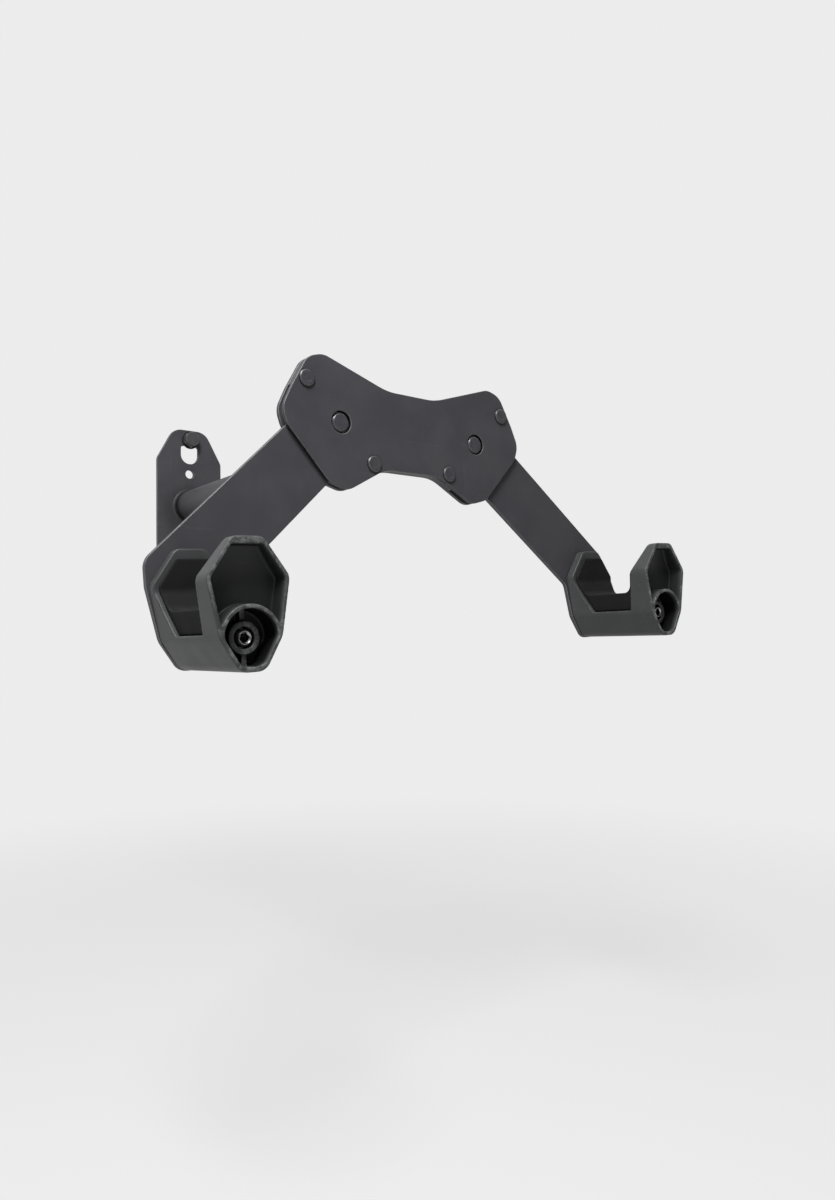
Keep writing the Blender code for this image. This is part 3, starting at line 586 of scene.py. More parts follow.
def makeWallScrew(word, height, screw):
    back, shank = plateFront - restGap, screw["shank"]
    front = back - screw["washer"]
    wide, soft = screw["washerRadius"], screw["washerSoft"]
    # The washer is near black
    makeRing(word + "WallWasher", "nearBlackWasher", wide, shank + restGap, back, front, soft, z=height)
    headBack = front - restGap
    headFront = headBack - screw["head"]
    reach, corner, cut = sixSided(screw["flats"])
    corners = [
        (0, headFront, 0), (reach * screw["faceShare"], headFront, 0.0003),
        (corner, headFront + screw["chamfer"], 0.0004), (corner, headBack, 0.0002), (shank, headBack, 0.0001),
        (shank, -restGap, 0.0002), (0, -restGap, 0),
    ]
    makeTurned(word + "WallScrew", "darkScrew", corners, screw["sides"], z=height, ripple=cut)


makeWallPlate(wallPlate)
for word, height in wallPlate["screws"].items():
    makeWallScrew(word, height, wallScrew)
print("wall plate done")


# The boom with its weld beads

boom = {
    # The tube's ends are darkened with painted shade, less on the weld beads
    "radius": 0.0143, "wall": 0.002, "weld": 0.002, "beadCurve": 1.3, "ripples": 52, "rippleHeight": 0.00012,
    "waver": 0.9, "wavers": 5, "lag": 1.6, "shadeDepth": 0.012, "shadeFull": 1.8, "beadShade": 0.15,
    "beadShadeGain": 2, "beadRings": 9, "afterBead": 1.3, "afterRings": 8, "sides": 320,
}


def makeBoom(boom):
    # The tube's profile with a bead at each end: radius = tube + weld (1 - t)^beadCurve for t from the
    # plate to the bead's toe. Round the tube the bead swells and sinks as the cosine of ripples times
    # the angle, which wavers a little. Painted shade darkens the tube from the bead on, where it meets
    # the plates, and fades evenly to nothing over its reach.
    outer, weld = boom["radius"], boom["weld"]
    inner = outer - boom["wall"]
    after = np.linspace(boom["afterBead"], boom["shadeDepth"] / weld, boom["afterRings"])
    toe = np.concatenate([np.linspace(0, 1, boom["beadRings"]), after])
    bead = outer + (weld - boom["rippleHeight"]) * np.clip(1 - toe, 0, 1) ** boom["beadCurve"]
    radii = np.concatenate([[inner], bead, bead[::-1], [inner, inner]])
    along = [[boomBack], boomBack - weld * toe, boomFront + weld * toe[::-1], [boomFront, boomBack]]
    along = np.concatenate(along)
    depth = np.minimum(boomBack - along, along - boomFront)

    def rippled(angles, radius, y):
        share = np.clip(1 - depth[:, None] / weld, 0, 1) * (radius > inner)
        waver = boom["waver"] * np.sin(boom["wavers"] * angles)
        pulse = np.cos(boom["ripples"] * angles + boom["lag"] * share + waver)
        return radius + boom["rippleHeight"] * pulse * np.sqrt(share)

    profile = np.stack([radii, along, 0 * radii, 0 * radii], axis=1)
    points, _, quads = turnedSurface(profile, boom["sides"], rippled)
    seam = np.clip(boom["shadeFull"] * (1 - depth / boom["shadeDepth"]), 0, 1)
    onBead = np.clip(depth / weld * boom["beadShadeGain"], boom["beadShade"], 1)
    seam = np.repeat(seam * onBead, boom["sides"])
    addPiece("boomTube", "powderCoat", "bracket", points, quads, seam=seam)


makeBoom(boom)
print("boom done")


# The bow-tie head: two plates, the spacer between them and the rivets

head = {
    # The front plate's walls that face down are darkened with painted shade
    "pivot": 0.051, "rivetX": 0.0225, "rivetZ": 0.0216, "soft": 0.0005, "undersideShade": 0.8,
    "halfOutline": [
        (0.020, -0.024, 0.025), (0.0468, -0.039, 0.011), (0.0595, -0.0353, 0.011), (0.086, -0.006, 0.012),
        (0.089, 0.0035, 0.012), (0.0832, 0.016, 0.012), (0.0728, 0.0345, 0.012), (0.0625, 0.0375, 0.012),
        (0.018, 0.0231, 0.040),
    ],
}
# A rivet's face is rows of radius, depth behind its front and softness, its foot the same from its seat.
# Its tail is rows of shares of the tail's radius and length, and softness.
rivetTail = [(1, 0, 0.0002), (0.75, 1, 0.0005), (0, 1, 0)]
# A little behind each rivet's face, painted shade darkens the rest of it: its foot, shank and tail
smallRivet = {
    "height": 0.0009, "shank": 0.002, "tailRadius": 0.004, "tail": 0.0015, "shadeDepth": 0.0007, "sides": 64,
    "face": [
        (0, 0.0002, 0), (0.002058, 0.0002, 0.0003), (0.002842, 0, 0.0004), (0.004263, 0, 0.0004),
        (0.0049, 0.00055, 0.0002),
    ],
    "foot": [(0.0049, -0.00012, 0.00004), (0.0052, -0.00012, 0.00002), (0.0052, 0, 0.00002)],
    "holeSides": 32,
}
pivotRivet = {
    "height": 0.0021, "shank": 0.004, "tailRadius": 0.006, "tail": 0.002, "shadeDepth": 0.0013, "sides": 80,
    "face": [(0, 0, 0), (0.00473, 0, 0.0004), (0.0055, 0.0007, 0.0002)], "foot": [(0.0055, 0, 0.0001)],
    "window": 0.0065,
}


def rivetSpots(head):
    spots = []
    for word, side in bothSides:
        spots.append((word + "Upper", side * (head["pivot"] + head["rivetX"]), head["rivetZ"]))
        spots.append((word + "Lower", side * (head["pivot"] - head["rivetX"]), -head["rivetZ"]))
    return spots


def makeBridges(head):
    outline = roundedOutline(mirrored(head["halfOutline"]), 3)
    radius, sides = smallRivet["shank"] + restGap, smallRivet["holeSides"]
    small = [circleOutline(x, z, radius, sides) for _, x, z in rivetSpots(head)]
    plates = (
        ("rear", rearBridgeBack, rearBridgeFront, pivotRivet["shank"] + restGap, 0.0),
        ("front", frontBridgeBack, frontBridgeFront, pivotRivet["window"], head["undersideShade"]),
    )
    for word, back, front, radius, undersideShade in plates:
        holes = [circleOutline(side * head["pivot"], 0, radius) for _, side in bothSides] + small
        makePlate(
            word + "Bridge", "powderCoat", outline, holes, back, front, head["soft"], undersideShade=undersideShade,
            node=word + "_bridge_plate",
        )


def makeRivet(name, x, z, rivet, seat):
    top, back = seat - rivet["height"], rearBridgeBack + restGap
    wide, tail = rivet["tailRadius"], rivet["tail"]
    corners = cornersFrom(rivet["face"], top) + cornersFrom(rivet["foot"], seat)
    corners += [(rivet["shank"], y, 0.00005) for y in (seat, back)]
    corners += [(wide * across, back + tail * behind, soft) for across, behind, soft in rivetTail]
    # Painted shade from a little behind the face
    shadeFrom = top + rivet["shadeDepth"]
    makeTurned(name + "Rivet", "rivetCoat", corners, rivet["sides"], x=x, z=z, shadeFrom=shadeFrom)


makeBridges(head)
for name, x, z in rivetSpots(head):
    makeRivet(name, x, z, smallRivet, frontBridgeFront - restGap)
for word, side in bothSides:
    makeRivet(word + "Pivot", side * head["pivot"], 0.0, pivotRivet, armFront - restGap)
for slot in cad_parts["centre_spacer"].material_slots:
    slot.material = finishes["powderCoat"]
print("head done")


# The arms, their bushes and the saddles' bolts

arm = {
    "halfWidth": 0.020, "reach": 0.1502, "offset": 0.0243, "nominalDrop": 40.5, "leftDrop": 44.5,
    "rightDrop": 36.5, "lip": 0.0003, "elbowRadius": 0.010, "innerRadius": 0.006, "soft": 0.0005,
    "bush": 0.0065, "bushSoft": 0.0002,
}
saddleShape = {
    # half width, height over the bolt and radius: the foot, the side, the vertex and the top
    "halfOutline": [
        (0.0062, -0.0153, 0.007), (0.0154, 0, 0.012), (0.0205, 0.027, 0.006), (0.0078, 0.045, 0.005),
    ],
    "skin": 0.0023, "rimWall": 0.0021,
}
saddleBolt = {
    "radius": 0.0025, "headRadius": 0.00425, "head": 0.005, "recess": 0.007, "socket": 0.002,
    # Painted shade darkens the bolt from its socket's floor back
    "socketDepth": 0.0026, "socketMouth": 0.0024, "shadeDepth": 0.0023, "washerRadius": 0.0047, "washer": 0.001,
    "sleeveRadius": 0.0035, "rearWasherRadius": 0.005, "ringSoft": 0.0002, "nutFlats": 0.008, "nut": 0.005,
    "point": 0.001, "near": 0.0001, "sides": 96, "holeSides": 40,
    # the socket's floor and wall, its mouth and the domed head, as a rivet's face
    "face": [
        (0, 0.0030, 0), (0.0018, 0.0026, 0.00005), (0.00232, 0.0026, 0.00003), (0.00232, 0.0007, 0.00005),
        (0.00292, 0, 0.0003), (0.0034, 0.0004, 0.0020), (0.00425, 0.0020, 0.0010),
    ],
    # the same from the nut's back
    "collar": [(0.0036, -0.0011, 0.0002), (0.00336, 0, 0.0005)],
    "nutFace": 0.0038, "nutChamfer": 0.0006, "nutShoulder": 0.0016,
}


def boltSpot(word, side):
    # Where this side's saddle bolt is at rest, when its arm hangs at its drop
    drop = math.radians(arm[word + "Drop"])
    out = Vector((side * math.cos(drop), -math.sin(drop)))
    up = Vector((side * math.sin(drop), math.cos(drop)))
    return Vector((side * head["pivot"], 0)) + out * arm["reach"] - up * arm["offset"]


def armOutline(arm, saddle):
    # A right arm along +X from its pivot. Its saddle end follows the saddle's outline, a lip larger,
    # and stands upright when the arm hangs at its nominal drop.
    half, lip, drop = arm["halfWidth"], arm["lip"], math.radians(arm["nominalDrop"])
    right = Vector((math.cos(drop), math.sin(drop)))
    up = Vector((-right.y, right.x))
    bolt = Vector((arm["reach"], -arm["offset"]))

    def at(across, above):
        return bolt + right * across + up * above

    foot, side, vertex, _ = saddle["halfOutline"]
    footX, footZ, footRadius = foot[0] + lip / 2, foot[1] - lip, foot[2] + lip
    sideX, sideRadius, vertexX, vertexZ = side[0] + lip, side[2], vertex[0] + lip, vertex[1]
    outer, inner = at(vertexX, vertexZ), at(-sideX, 0)
    innerWay = at(-vertexX, vertexZ) - inner
    elbow = outer.x + up.x * (half - outer.y) / up.y
    crook = inner.x + innerWay.x * (-half - inner.y) / innerWay.y
    return roundedOutline([
        (-half, half, half), (-half, -half, half), (crook, -half, arm["innerRadius"]), (*inner, sideRadius),
        (*at(-footX, footZ), footRadius), (*at(footX, footZ), footRadius), (*at(sideX, 0), sideRadius),
        (*outer, vertex[2]), (elbow, half, arm["elbowRadius"]),
    ], 4)


def makeArm(word, side, arm):
    angle = side * math.radians(arm[word + "Drop"])
    where = {"body": word + "_arm", "angle": angle, "x": side * head["pivot"]}
    outline = armOutline(arm, saddleShape) * (side, 1, side, 1)
    boltHole = (saddleBolt["radius"] + restGap, saddleBolt["holeSides"])
    holes = [
        circleOutline(0, 0, arm["bush"] + restGap),
        circleOutline(side * arm["reach"], -arm["offset"], *boltHole),
    ]
    makePlate(word + "Arm", "powderCoat", outline, holes, armBack, armFront, arm["soft"], **where)
    bush = (arm["bush"], pivotRivet["shank"] + restGap, armBack, armFront, arm["bushSoft"])
    makeRing(word + "PivotBush", "greyNylon", *bush, **where | {"angle": 0.0})
    spot = boltSpot(word, side)
    makeBoltPieces(word, where | {"x": spot.x, "z": spot.y}, saddleBolt)


def makeBoltPieces(word, where, bolt):
    shank, inner, near = bolt["radius"], bolt["radius"] + restGap, bolt["near"]
    (headFront, headBack), washer = inRow(saddleRim + bolt["recess"], bolt["head"], bolt["washer"])
    rearWasher, (nutFront, nutBack) = inRow(armBack + restGap, bolt["washer"], bolt["nut"])
    socketFloor, tip = headFront + bolt["socketDepth"], nutBack + bolt["point"]

    def withSocket(angles, radius, along):
        # The socket's wall is a hexagon, the rest of the bolt is round
        sunk = (along > headFront + near) & (along < socketFloor + near) & (radius < bolt["socketMouth"])
        return np.where(sunk, np.minimum(radius, hexRadius(angles, bolt["socket"])), radius)

    corners = cornersFrom(bolt["face"], headFront) + [
        (bolt["headRadius"], headBack, 0.0001), (shank, headBack, 0.0001), (shank, tip, 0.0004), (0, tip, 0),
    ]
    # Painted shade darkens the socket's floor and the bolt behind it
    extras = {"ripple": withSocket, "shadeFrom": headFront + bolt["shadeDepth"]}
    makeTurned(word + "SaddleBolt", "boltSteel", corners, bolt["sides"], **extras, **where)
    rings = (
        ("BoltWasher", "boltSteel", bolt["washerRadius"], *washer),
        ("SwivelSleeve", "zincSteel", bolt["sleeveRadius"], washer[1] + restGap, armFront - restGap),
        ("RearWasher", "boltSteel", bolt["rearWasherRadius"], *rearWasher),
    )
    for name, finish, radius, front, back in rings:
        makeRing(word + name, finish, radius, inner, back, front, bolt["ringSoft"], **where)
    _, corner, cut = sixSided(bolt["nutFlats"])
    corners = [
        (inner, nutBack, 0.0001), (inner, nutFront, 0.0001), (bolt["nutFace"], nutFront, 0.0001),
        (corner, nutFront + bolt["nutChamfer"], 0.0002), (corner, nutBack - bolt["nutShoulder"], 0.0002),
    ] + cornersFrom(bolt["collar"], nutBack)
    makeTurned(word + "LockNut", "boltSteel", corners, bolt["sides"], closed=True, ripple=cut, **where)


for word, side in bothSides:
    makeArm(word, side, arm)
print("arms done")


# The saddles and their rubber liners

channelSide = {
    # depth behind the rim and height over the bolt, and a radius where the corner is rounded
    "lip": [(0.0173, 0.002), (0.012, 0.029), (0.0065, 0.045)], "floorBack": (0.049, 0.002),
    "ramp": (0.0565, 0.014, 0.008), "backWall": (0.0615, 0.024, 0.006), "over": 0.004,
    "ridgeTop": 0.006, "ridgeBottom": -0.005, "ridgeHalfWidth": 0.0062,
}
saddleFront = {
    "pocket": 0.010, "pocketTop": 0.0045, "pocketBend": 0.35, "topRim": 0.0036, "archRadius": 0.013,
    "archWall": 0.002, "recess": 0.013, "ringRadius": 0.0077, "ringDepth": 0.0078, "ribHalfWidth": 0.0013,
    "ribDepth": 0.0092, "pocketSlope": 0.96,
}
# Over how far two distances are rounded into each other
blends = {
    "body": 0.0008, "pocketTop": 0.0006, "pocketFloor": 0.0012, "arch": 0.00084, "islands": 0.00048,
    "islandFoot": 0.0004, "recessFloor": 0.0012, "pocketMouth": 0.00064, "recessMouth": 0.00056,
    "channelMouth": 0.00064, "ridge": 0.00032, "bore": 0.00028, "liner": 0.0006, "linerRidge": 0.0003,
}
# How dark the painted shade and how light the painted sheen on the faces are, where each starts and
# how far it fades, and how far past its own walls and floor each part still counts
saddleMarks = {
    "recessShade": 0.97, "pocketShade": 0.66, "shadeFrom": 0.0008, "shadeFade": 0.0026,
    "rimSheen": 0.68, "collarSheen": 0.6, "sheenFrom": 0.0002, "sheenFade": 0.0006, "faceDepth": 0.0005,
    "wallSlack": 0.0004, "floorSlack": 0.0006, "ringSlack": (0.0002, 0.0010), "ribSlack": (0.0001, 0.0004),
}
linerSize = {
    "seatHeight": 0.0138, "wall": 0.002, "topHeight": 0.040, "footRadius": 0.002, "seatRadius": 0.006,
    "lipRadius": 0.004, "topRadius": 0.0006,
}
carving = {
    "step": 0.00055, "linerStep": 0.0005, "room": 0.0012, "leastSlope": 0.2, "mostMove": 0.4,
    "bendToMark": 0.00045,
}


def outlineDistance(outline, across, up):
    # How far each point is from a closed outline, less than nothing inside: the least distance to
    # its straight pieces, with the sign from how many of them a line to the right crosses.
    start = outline[:, :2]
    reach = np.roll(start, -1, axis=0) - start
    keep = np.linalg.norm(reach, axis=1) > 1e-7
    start, reach = start[keep], reach[keep]
    offsetX = across[..., None] - start[:, 0]
    offsetZ = up[..., None] - start[:, 1]
    share = np.clip((offsetX * reach[:, 0] + offsetZ * reach[:, 1]) / (reach ** 2).sum(axis=1), 0, 1)
    gap = np.hypot(offsetX - share * reach[:, 0], offsetZ - share * reach[:, 1]).min(axis=-1)
    climbs = (offsetZ < 0) != (offsetZ - reach[:, 1] < 0)
    slope = reach[:, 0] / np.where(np.abs(reach[:, 1]) < 1e-12, 1e-12, reach[:, 1])
    inside = (climbs & (offsetX < offsetZ * slope)).sum(axis=-1) % 2 == 1
    return np.where(inside, -gap, gap)


def sectionDistance(outline, first, second):
    # The same on the grid of two axes
    return outlineDistance(outline, *np.meshgrid(first, second, indexing="ij"))


def softMax(first, second, blend):
    # The larger of two distances, rounded off where they are nearly equal
    share = np.clip(1 - np.abs(first - second) / blend, 0, 1)
    return np.maximum(first, second) + share * share * blend / 4


def softMin(first, second, blend):
    return -softMax(-first, -second, blend)


def sampled(field, cell, share):
    # The field between its grid points: the eight corners of each cell, weighted by nearness
    value = 0
    for corner in np.ndindex(2, 2, 2):
        weight = np.prod(np.where(corner, share, 1 - share), axis=1)
        value = value + weight * field[tuple((cell + corner).T)]
    return value


def fieldSurface(field, low, step):
    # The surface where a field of distances is nought: points, quads, outward directions and edge
    # marks. Each grid cell that the surface passes through gets one point, the mean of where it cuts
    # the cell's sides, then moved twice along the field's slope to where the field is nought. Each
    # grid line that the surface cuts gets one quad of its four cells.
    cells = tuple(size - 1 for size in field.shape)
    total, cuts, lines = np.zeros(cells + (3,)), np.zeros(cells), []
    for axis in range(3):
        outside = np.moveaxis(field, axis, 0) >= 0
        spot = np.argwhere(np.moveaxis(outside[:-1] != outside[1:], 0, axis))
        first = field[tuple(spot.T)]
        second = field[tuple((spot + np.eye(3, dtype=int)[axis]).T)]
        place = spot.astype(float)
        place[:, axis] += first / (first - second)
        others = [other for other in range(3) if other != axis]
        around = []
        for back in ((0, 0), (1, 0), (1, 1), (0, 1)):
            cell = spot.copy()
            cell[:, others] -= back
            np.add.at(total, tuple(cell.T), place)
            np.add.at(cuts, tuple(cell.T), 1)
            around.append(cell)
        lines.append(np.stack(around, axis=1))
    used = np.argwhere(cuts > 0)
    numberOf = np.full(cells, -1)
    numberOf[tuple(used.T)] = np.arange(len(used))
    spots = total[tuple(used.T)] / cuts[tuple(used.T)][:, None]
    quads = np.concatenate([numberOf[tuple(np.moveaxis(line, -1, 0))] for line in lines])
    slopes = np.gradient(field, step)
    bend = sum(np.gradient(slope, step, axis=axis) for axis, slope in enumerate(slopes))
    for _ in range(2):
        share = np.clip(spots - used, 0, 1)
        away = np.stack([sampled(slope, used, share) for slope in slopes], axis=1)
        move = -sampled(field, used, share) / np.maximum((away ** 2).sum(axis=1), carving["leastSlope"])
        most = carving["mostMove"] * step
        spots = spots + np.clip(move, -most, most)[:, None] * away / step
    share = np.clip(spots - used, 0, 1)
    away = np.stack([sampled(slope, used, share) for slope in slopes], axis=1)
    away /= np.maximum(np.linalg.norm(away, axis=1, keepdims=True), 1e-9)
    marks = np.clip(sampled(bend, used, share) * carving["bendToMark"], 0, 1)
    return spots * step + low, quads, away, marks


def carved(makeField, low, high, step):
    # The surface of a field that is worked out on a grid from low to high
    axes = [np.arange(start, end + step, step) for start, end in zip(low, high)]
    return fieldSurface(makeField(axes), np.array(low), step)


saddleOutline = roundedOutline(mirrored(saddleShape["halfOutline"]), 6)
saddleTop = saddleShape["halfOutline"][-1][1]


def lipDepth(height):
    # The lip leans in two straight stretches, and the upper one goes on past the top
    (_, _), (middleDepth, middle), (topDepth, top) = channelSide["lip"]
    if height > top:
        return topDepth - (height - top) * (middleDepth - topDepth) / (top - middle)
    depths, heights = zip(*channelSide["lip"])
    return float(np.interp(height, heights, depths))


def rampDepth(height):
    (startDepth, start), (endDepth, end, _) = channelSide["floorBack"], channelSide["ramp"]
    share = (height - start) / (end - start)
    return startDepth + (endDepth - startDepth) * share


def pocketFloor(up):
    # The depth of the pocket's floor: it comes forward at the top as a square curve
    low, bend = channelSide["lip"][1][1], saddleFront["pocketBend"]
    share = np.clip((up - low) / (saddleTop - low) + bend, 0, 1 + bend)
    forward = saddleFront["pocketTop"] - saddleFront["pocket"]
    return saddleFront["pocket"] + forward * share ** 2 / (1 + bend) ** 2


def ridgeDistance(across, up, growth):
    # The low ridge along the channel's floor, round the bolt's bore
    side = channelSide
    upright = np.maximum(up - side["ridgeTop"] - growth, side["ridgeBottom"] - up)
    return np.maximum(np.abs(across) - side["ridgeHalfWidth"] - growth, upright)


def saddleField(axes):
    # Distances on a grid of across, depth behind the rim, and height above the bolt. Every hollow is
    # taken out by the softened maximum of what is there and less the hollow's own distance.
    side, front, bolt, over = channelSide, saddleFront, saddleBolt, saddleTop + channelSide["over"]
    across, depth, up = axes[0][:, None, None], axes[1][None, :, None], axes[2][None, None, :]
    shape = sectionDistance(saddleOutline, axes[0], axes[2])[:, None, :]
    inside = shape + saddleShape["rimWall"]
    radial, arch = np.hypot(across, up), front["archRadius"]
    block = softMax(shape, np.maximum(-depth, depth - layers["saddle"]), blends["body"])
    floor = (depth - pocketFloor(up)) * front["pocketSlope"]
    pocket = softMax(inside, up - saddleTop + front["topRim"], blends["pocketTop"])
    pocket = softMax(pocket, floor, blends["pocketFloor"])
    pocket = softMax(pocket, arch + front["archWall"] - radial, blends["arch"])
    recess = softMax(inside, radial - arch, blends["arch"])
    recess = softMax(recess, depth - front["recess"], blends["recessFloor"])
    collar = np.maximum(radial - front["ringRadius"], front["ringDepth"] - depth)
    ribs = np.maximum(np.abs(across) - front["ribHalfWidth"], front["ribDepth"] - depth)
    recess = softMax(recess, -softMin(collar, ribs, blends["islands"]), blends["islandFoot"])
    foot, middle, _ = side["lip"]
    channel = roundedOutline([
        (*foot, 0), (*side["floorBack"], 0), side["ramp"], side["backWall"], (side["backWall"][0], over, 0),
        (lipDepth(over), over, 0), (*middle, 0),
    ])
    channel = sectionDistance(channel, axes[1], axes[2])[None, :, :]
    for hollow, name in ((pocket, "pocketMouth"), (recess, "recessMouth"), (channel, "channelMouth")):
        block = softMax(block, -hollow, blends[name])
    ridgeBack = (side["ramp"][0] + side["backWall"][0]) / 2
    ridgeFront = (front["recess"] + lipDepth(side["ridgeTop"])) / 2
    ends = np.maximum(depth - ridgeBack, ridgeFront - depth)
    ridge = softMax(ridgeDistance(across, up, 0), ends, blends["ridge"])
    seat = bolt["recess"] + bolt["head"] + 2 * restGap + bolt["washer"]
    bore = np.maximum(radial - bolt["washerRadius"] - restGap, depth - seat)
    bore = np.minimum(bore, radial - bolt["sleeveRadius"] - restGap)
    return softMax(softMin(block, ridge, blends["ridge"]), -bore, blends["bore"])


def linerField(axes):
    # The liner's side view carried across, and cut to what is between the saddle's two side skins
    side, liner, gap = channelSide, linerSize, restGap
    wall, top, soft, seatRadius = liner["wall"], liner["topHeight"], liner["topRadius"], liner["seatRadius"]
    foot, seat, footRadius = side["floorBack"][1] + gap, liner["seatHeight"], liner["footRadius"]
    (ramp, *rampRest), (rear, *rearRest) = side["ramp"], side["backWall"]
    front, *frontRest = *side["lip"][1], liner["lipRadius"]
    rear, front, frontTop = rear - gap, front + gap, lipDepth(top) + gap
    outline = roundedOutline([
        (lipDepth(foot) + gap, foot, footRadius), (rampDepth(foot) - gap, foot, footRadius),
        (ramp - gap, *rampRest), (rear, *rearRest), (rear, top, soft), (rear - wall, top, soft),
        (rear - wall, *rearRest), (rampDepth(seat) - gap - wall, seat, seatRadius),
        (lipDepth(seat) + gap + wall, seat, seatRadius), (front + wall, *frontRest),
        (frontTop + wall, top, soft), (frontTop, top, soft), (front, *frontRest),
    ])
    section = sectionDistance(outline, axes[1], axes[2])[None, :, :]
    skins = sectionDistance(saddleOutline, axes[0], axes[2])[:, None, :] + saddleShape["skin"]
    ridge = ridgeDistance(axes[0][:, None, None], axes[2][None, None, :], gap)
    return softMax(softMax(section, skins, blends["liner"]), -ridge, blends["linerRidge"])


def paintedSheenAndShade(points, marks, front, how):
    # The rim's front face is lightened along its whole width as painted sheen, and the collar's and the
    # ribs' a little less. Painted shade darkens the recess round the bolt, and less so the pocket above it,
    # but not the collar and the ribs.
    across, depth, up = points.T
    radial, aside = np.hypot(across, up), np.abs(across)
    ring, rib = front["ringRadius"], front["ribHalfWidth"]
    rim = np.clip(1 - (depth - how["sheenFrom"]) / how["sheenFade"], 0, 1)
    collar = (np.abs(depth - front["ringDepth"]) < how["faceDepth"]) * (radial < ring)
    ribs = (np.abs(depth - front["ribDepth"]) < how["faceDepth"]) * (aside < rib)
    wornAndGlint = np.maximum(how["rimSheen"] * rim, how["collarSheen"] * np.maximum(collar, ribs))
    inside = outlineDistance(saddleOutline, across, up) < how["wallSlack"] - saddleShape["rimWall"]
    deep = np.clip((depth - how["shadeFrom"]) / how["shadeFade"], 0, 1) * inside
    low = (radial < front["archRadius"] + how["wallSlack"]) | (up < 0)
    recess = deep * low * (depth < front["recess"] + how["floorSlack"])
    pocket = deep * (1 - low) * (depth < pocketFloor(up) + how["floorSlack"])
    (ringAside, ringBehind), (ribAside, ribBehind) = how["ringSlack"], how["ribSlack"]
    collar = (radial < ring + ringAside) * (depth < front["ringDepth"] + ringBehind)
    ribs = (aside < rib + ribAside) * (depth < front["ribDepth"] + ribBehind)
    recess = recess * (1 - np.maximum(collar, ribs))
    return np.maximum(marks, wornAndGlint), np.maximum(how["recessShade"] * recess, how["pocketShade"] * pocket)


def makeSaddles(side, liner):
    bolts = {word: boltSpot(word, way) for word, way in bothSides}
    tilt = -math.atan2(bolts["right"].y - bolts["left"].y, bolts["right"].x - bolts["left"].x)
    (_, foot, _), _, (wide, _, _), _ = saddleShape["halfOutline"]
    (_, floor), _, (lipTop, _) = side["lip"]
    room = carving["room"]
    ends = ((-wide - room, -room, foot - room), (wide + room, layers["saddle"] + room, saddleTop + room))
    points, quads, facing, marks = carved(saddleField, *ends, carving["step"])
    saddle = (points, quads, facing, *paintedSheenAndShade(points, marks, saddleFront, saddleMarks))
    back, top = side["backWall"][0], liner["topHeight"]
    ends = ((-wide, lipTop - room, floor - room), (wide, back + room, top + room))
    liner = (*carved(linerField, *ends, carving["linerStep"]), None)
    for name, finish, surface in (("Saddle", "moulding", saddle), ("Liner", "rubber", liner)):
        points, quads, facing, marks, seam = surface
        print(name, "faces", len(quads))
        for word, bolt in bolts.items():
            inPlace, turned = placed(points + (0, saddleRim, 0), facing, tilt, bolt.x, bolt.y)
            addPiece(word + name, finish, word + "_saddle", inPlace, quads, (), turned, marks, seam)


makeSaddles(channelSide, linerSize)
print("saddles done")


# Floor, world and lamps

studio = {
    "floorHeight": -0.42, "floorColour": (0.80, 0.80, 0.80), "floorSize": 12.0, "floorRoughness": 0.9,
    "floorSpecular": 0.1, "fadeShift": 0.2, "fadeFrom": 0.2, "fadeTo": 1.1, "glowShare": 0.72,
    "ambient": 0.28, "backdrop": 0.84, "roomShare": 0.12, "roomEnds": (-0.5, 0.2),
    "lamps": [
        # name, place, aimed at, size, watts
        ("topLamp", (-0.45, -0.74, 0.75), (-0.03, -0.33, -0.04), 0.42, 16.5),
        ("glintLamp", (-0.90, -1.50, 0.90), (-0.03, -0.33, -0.04), 0.45, 3.0),
    ],
}


def seenBy(tree, *kinds):
    # One for rays of these kinds, nought for the others
    path, seen = addNode(tree, "LightPath"), 0.0
    for kind in kinds:
        seen = mathNode(tree, "MAXIMUM", seen, path["Is " + kind + " Ray"])
    return seen


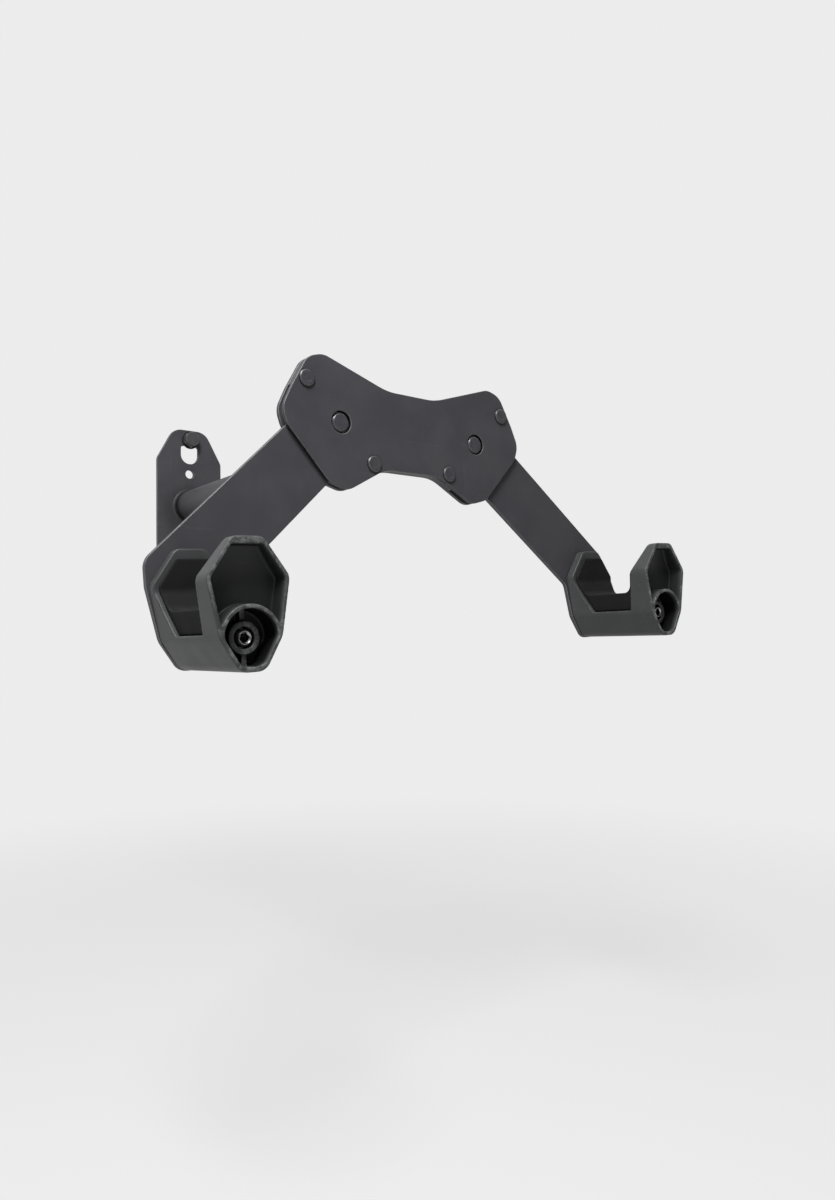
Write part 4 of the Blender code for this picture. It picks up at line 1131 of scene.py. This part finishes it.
def makeWorld(studio):
    # White behind the bracket, and dimmer for light and reflections from the room in front of it
    world = bpy.data.worlds.new("studio")
    world.use_nodes = True
    tree = world.node_tree
    way = addNode(tree, "TexCoord")["Generated"]
    inwards = stepBetween(tree, addNode(tree, "SeparateXYZ", {0: way})[1], *studio["roomEnds"])
    share = mathNode(tree, "MULTIPLY_ADD", inwards, 1 - studio["roomShare"], studio["roomShare"])
    more = studio["backdrop"] - studio["ambient"]
    lit = mathNode(tree, "MULTIPLY_ADD", seenBy(tree, "Glossy"), more, studio["ambient"])
    lit = mathNode(tree, "MULTIPLY", lit, share)
    plain = seenBy(tree, "Camera", "Transmission")
    strength = addNode(tree, "Mix", {0: plain, 2: lit, 3: studio["backdrop"]})[0]
    setInputs(tree, tree.nodes["Background"], {"Color": (1, 1, 1, 1), "Strength": strength})
    bpy.context.scene.world = world


def makeFloor(studio):
    # What the camera and mirrors see of the floor is the backdrop's white, mixed in by glowShare under
    # the bracket and wholly far away
    half, height = studio["floorSize"] / 2, studio["floorHeight"]
    mesh = bpy.data.meshes.new("floor")
    corners = [(x * half, y * half, height) for x, y in ((-1, -1), (1, -1), (1, 1), (-1, 1))]
    mesh.from_pydata(corners, [], [(0, 1, 2, 3)])
    material, tree, shader = newMaterial("paleFloor")
    setInputs(tree, shader, {
        "Base Color": (*studio["floorColour"], 1.0), "Roughness": studio["floorRoughness"],
        "Specular IOR Level": studio["floorSpecular"],
    })
    place = addNode(tree, "TexCoord")["Object"]
    away = distanceAway(tree, place, (0, studio["fadeShift"], 0), (1, 1, 0))
    fade = stepBetween(tree, away, studio["fadeFrom"], studio["fadeTo"])
    fade = mathNode(tree, "MULTIPLY_ADD", fade, 1 - studio["glowShare"], studio["glowShare"])
    fade = mathNode(tree, "MULTIPLY", fade, seenBy(tree, "Camera", "Glossy", "Transmission"))
    glow = addNode(tree, "Emission", {"Color": (1, 1, 1, 1), "Strength": studio["backdrop"]})[0]
    both = addNode(tree, "MixShader", {0: fade, 1: shader.outputs[0], 2: glow})[0]
    setInputs(tree, tree.nodes["Material Output"], {"Surface": both})
    mesh.materials.append(material)
    addObject("floor", mesh)


def makeLamps(studio):
    for name, place, aim, size, watts in studio["lamps"]:
        lamp = bpy.data.lights.new(name, "AREA")
        lamp.shape = "DISK"
        lamp.size = size
        lamp.energy = watts
        way = Vector(aim) - Vector(place)
        standAt(addObject(name, lamp), way.to_track_quat("-Z", "Y").to_matrix(), place)


makeWorld(studio)
makeFloor(studio)
makeLamps(studio)
bpy.context.scene.view_settings.view_transform = "Standard"
print("studio lit")
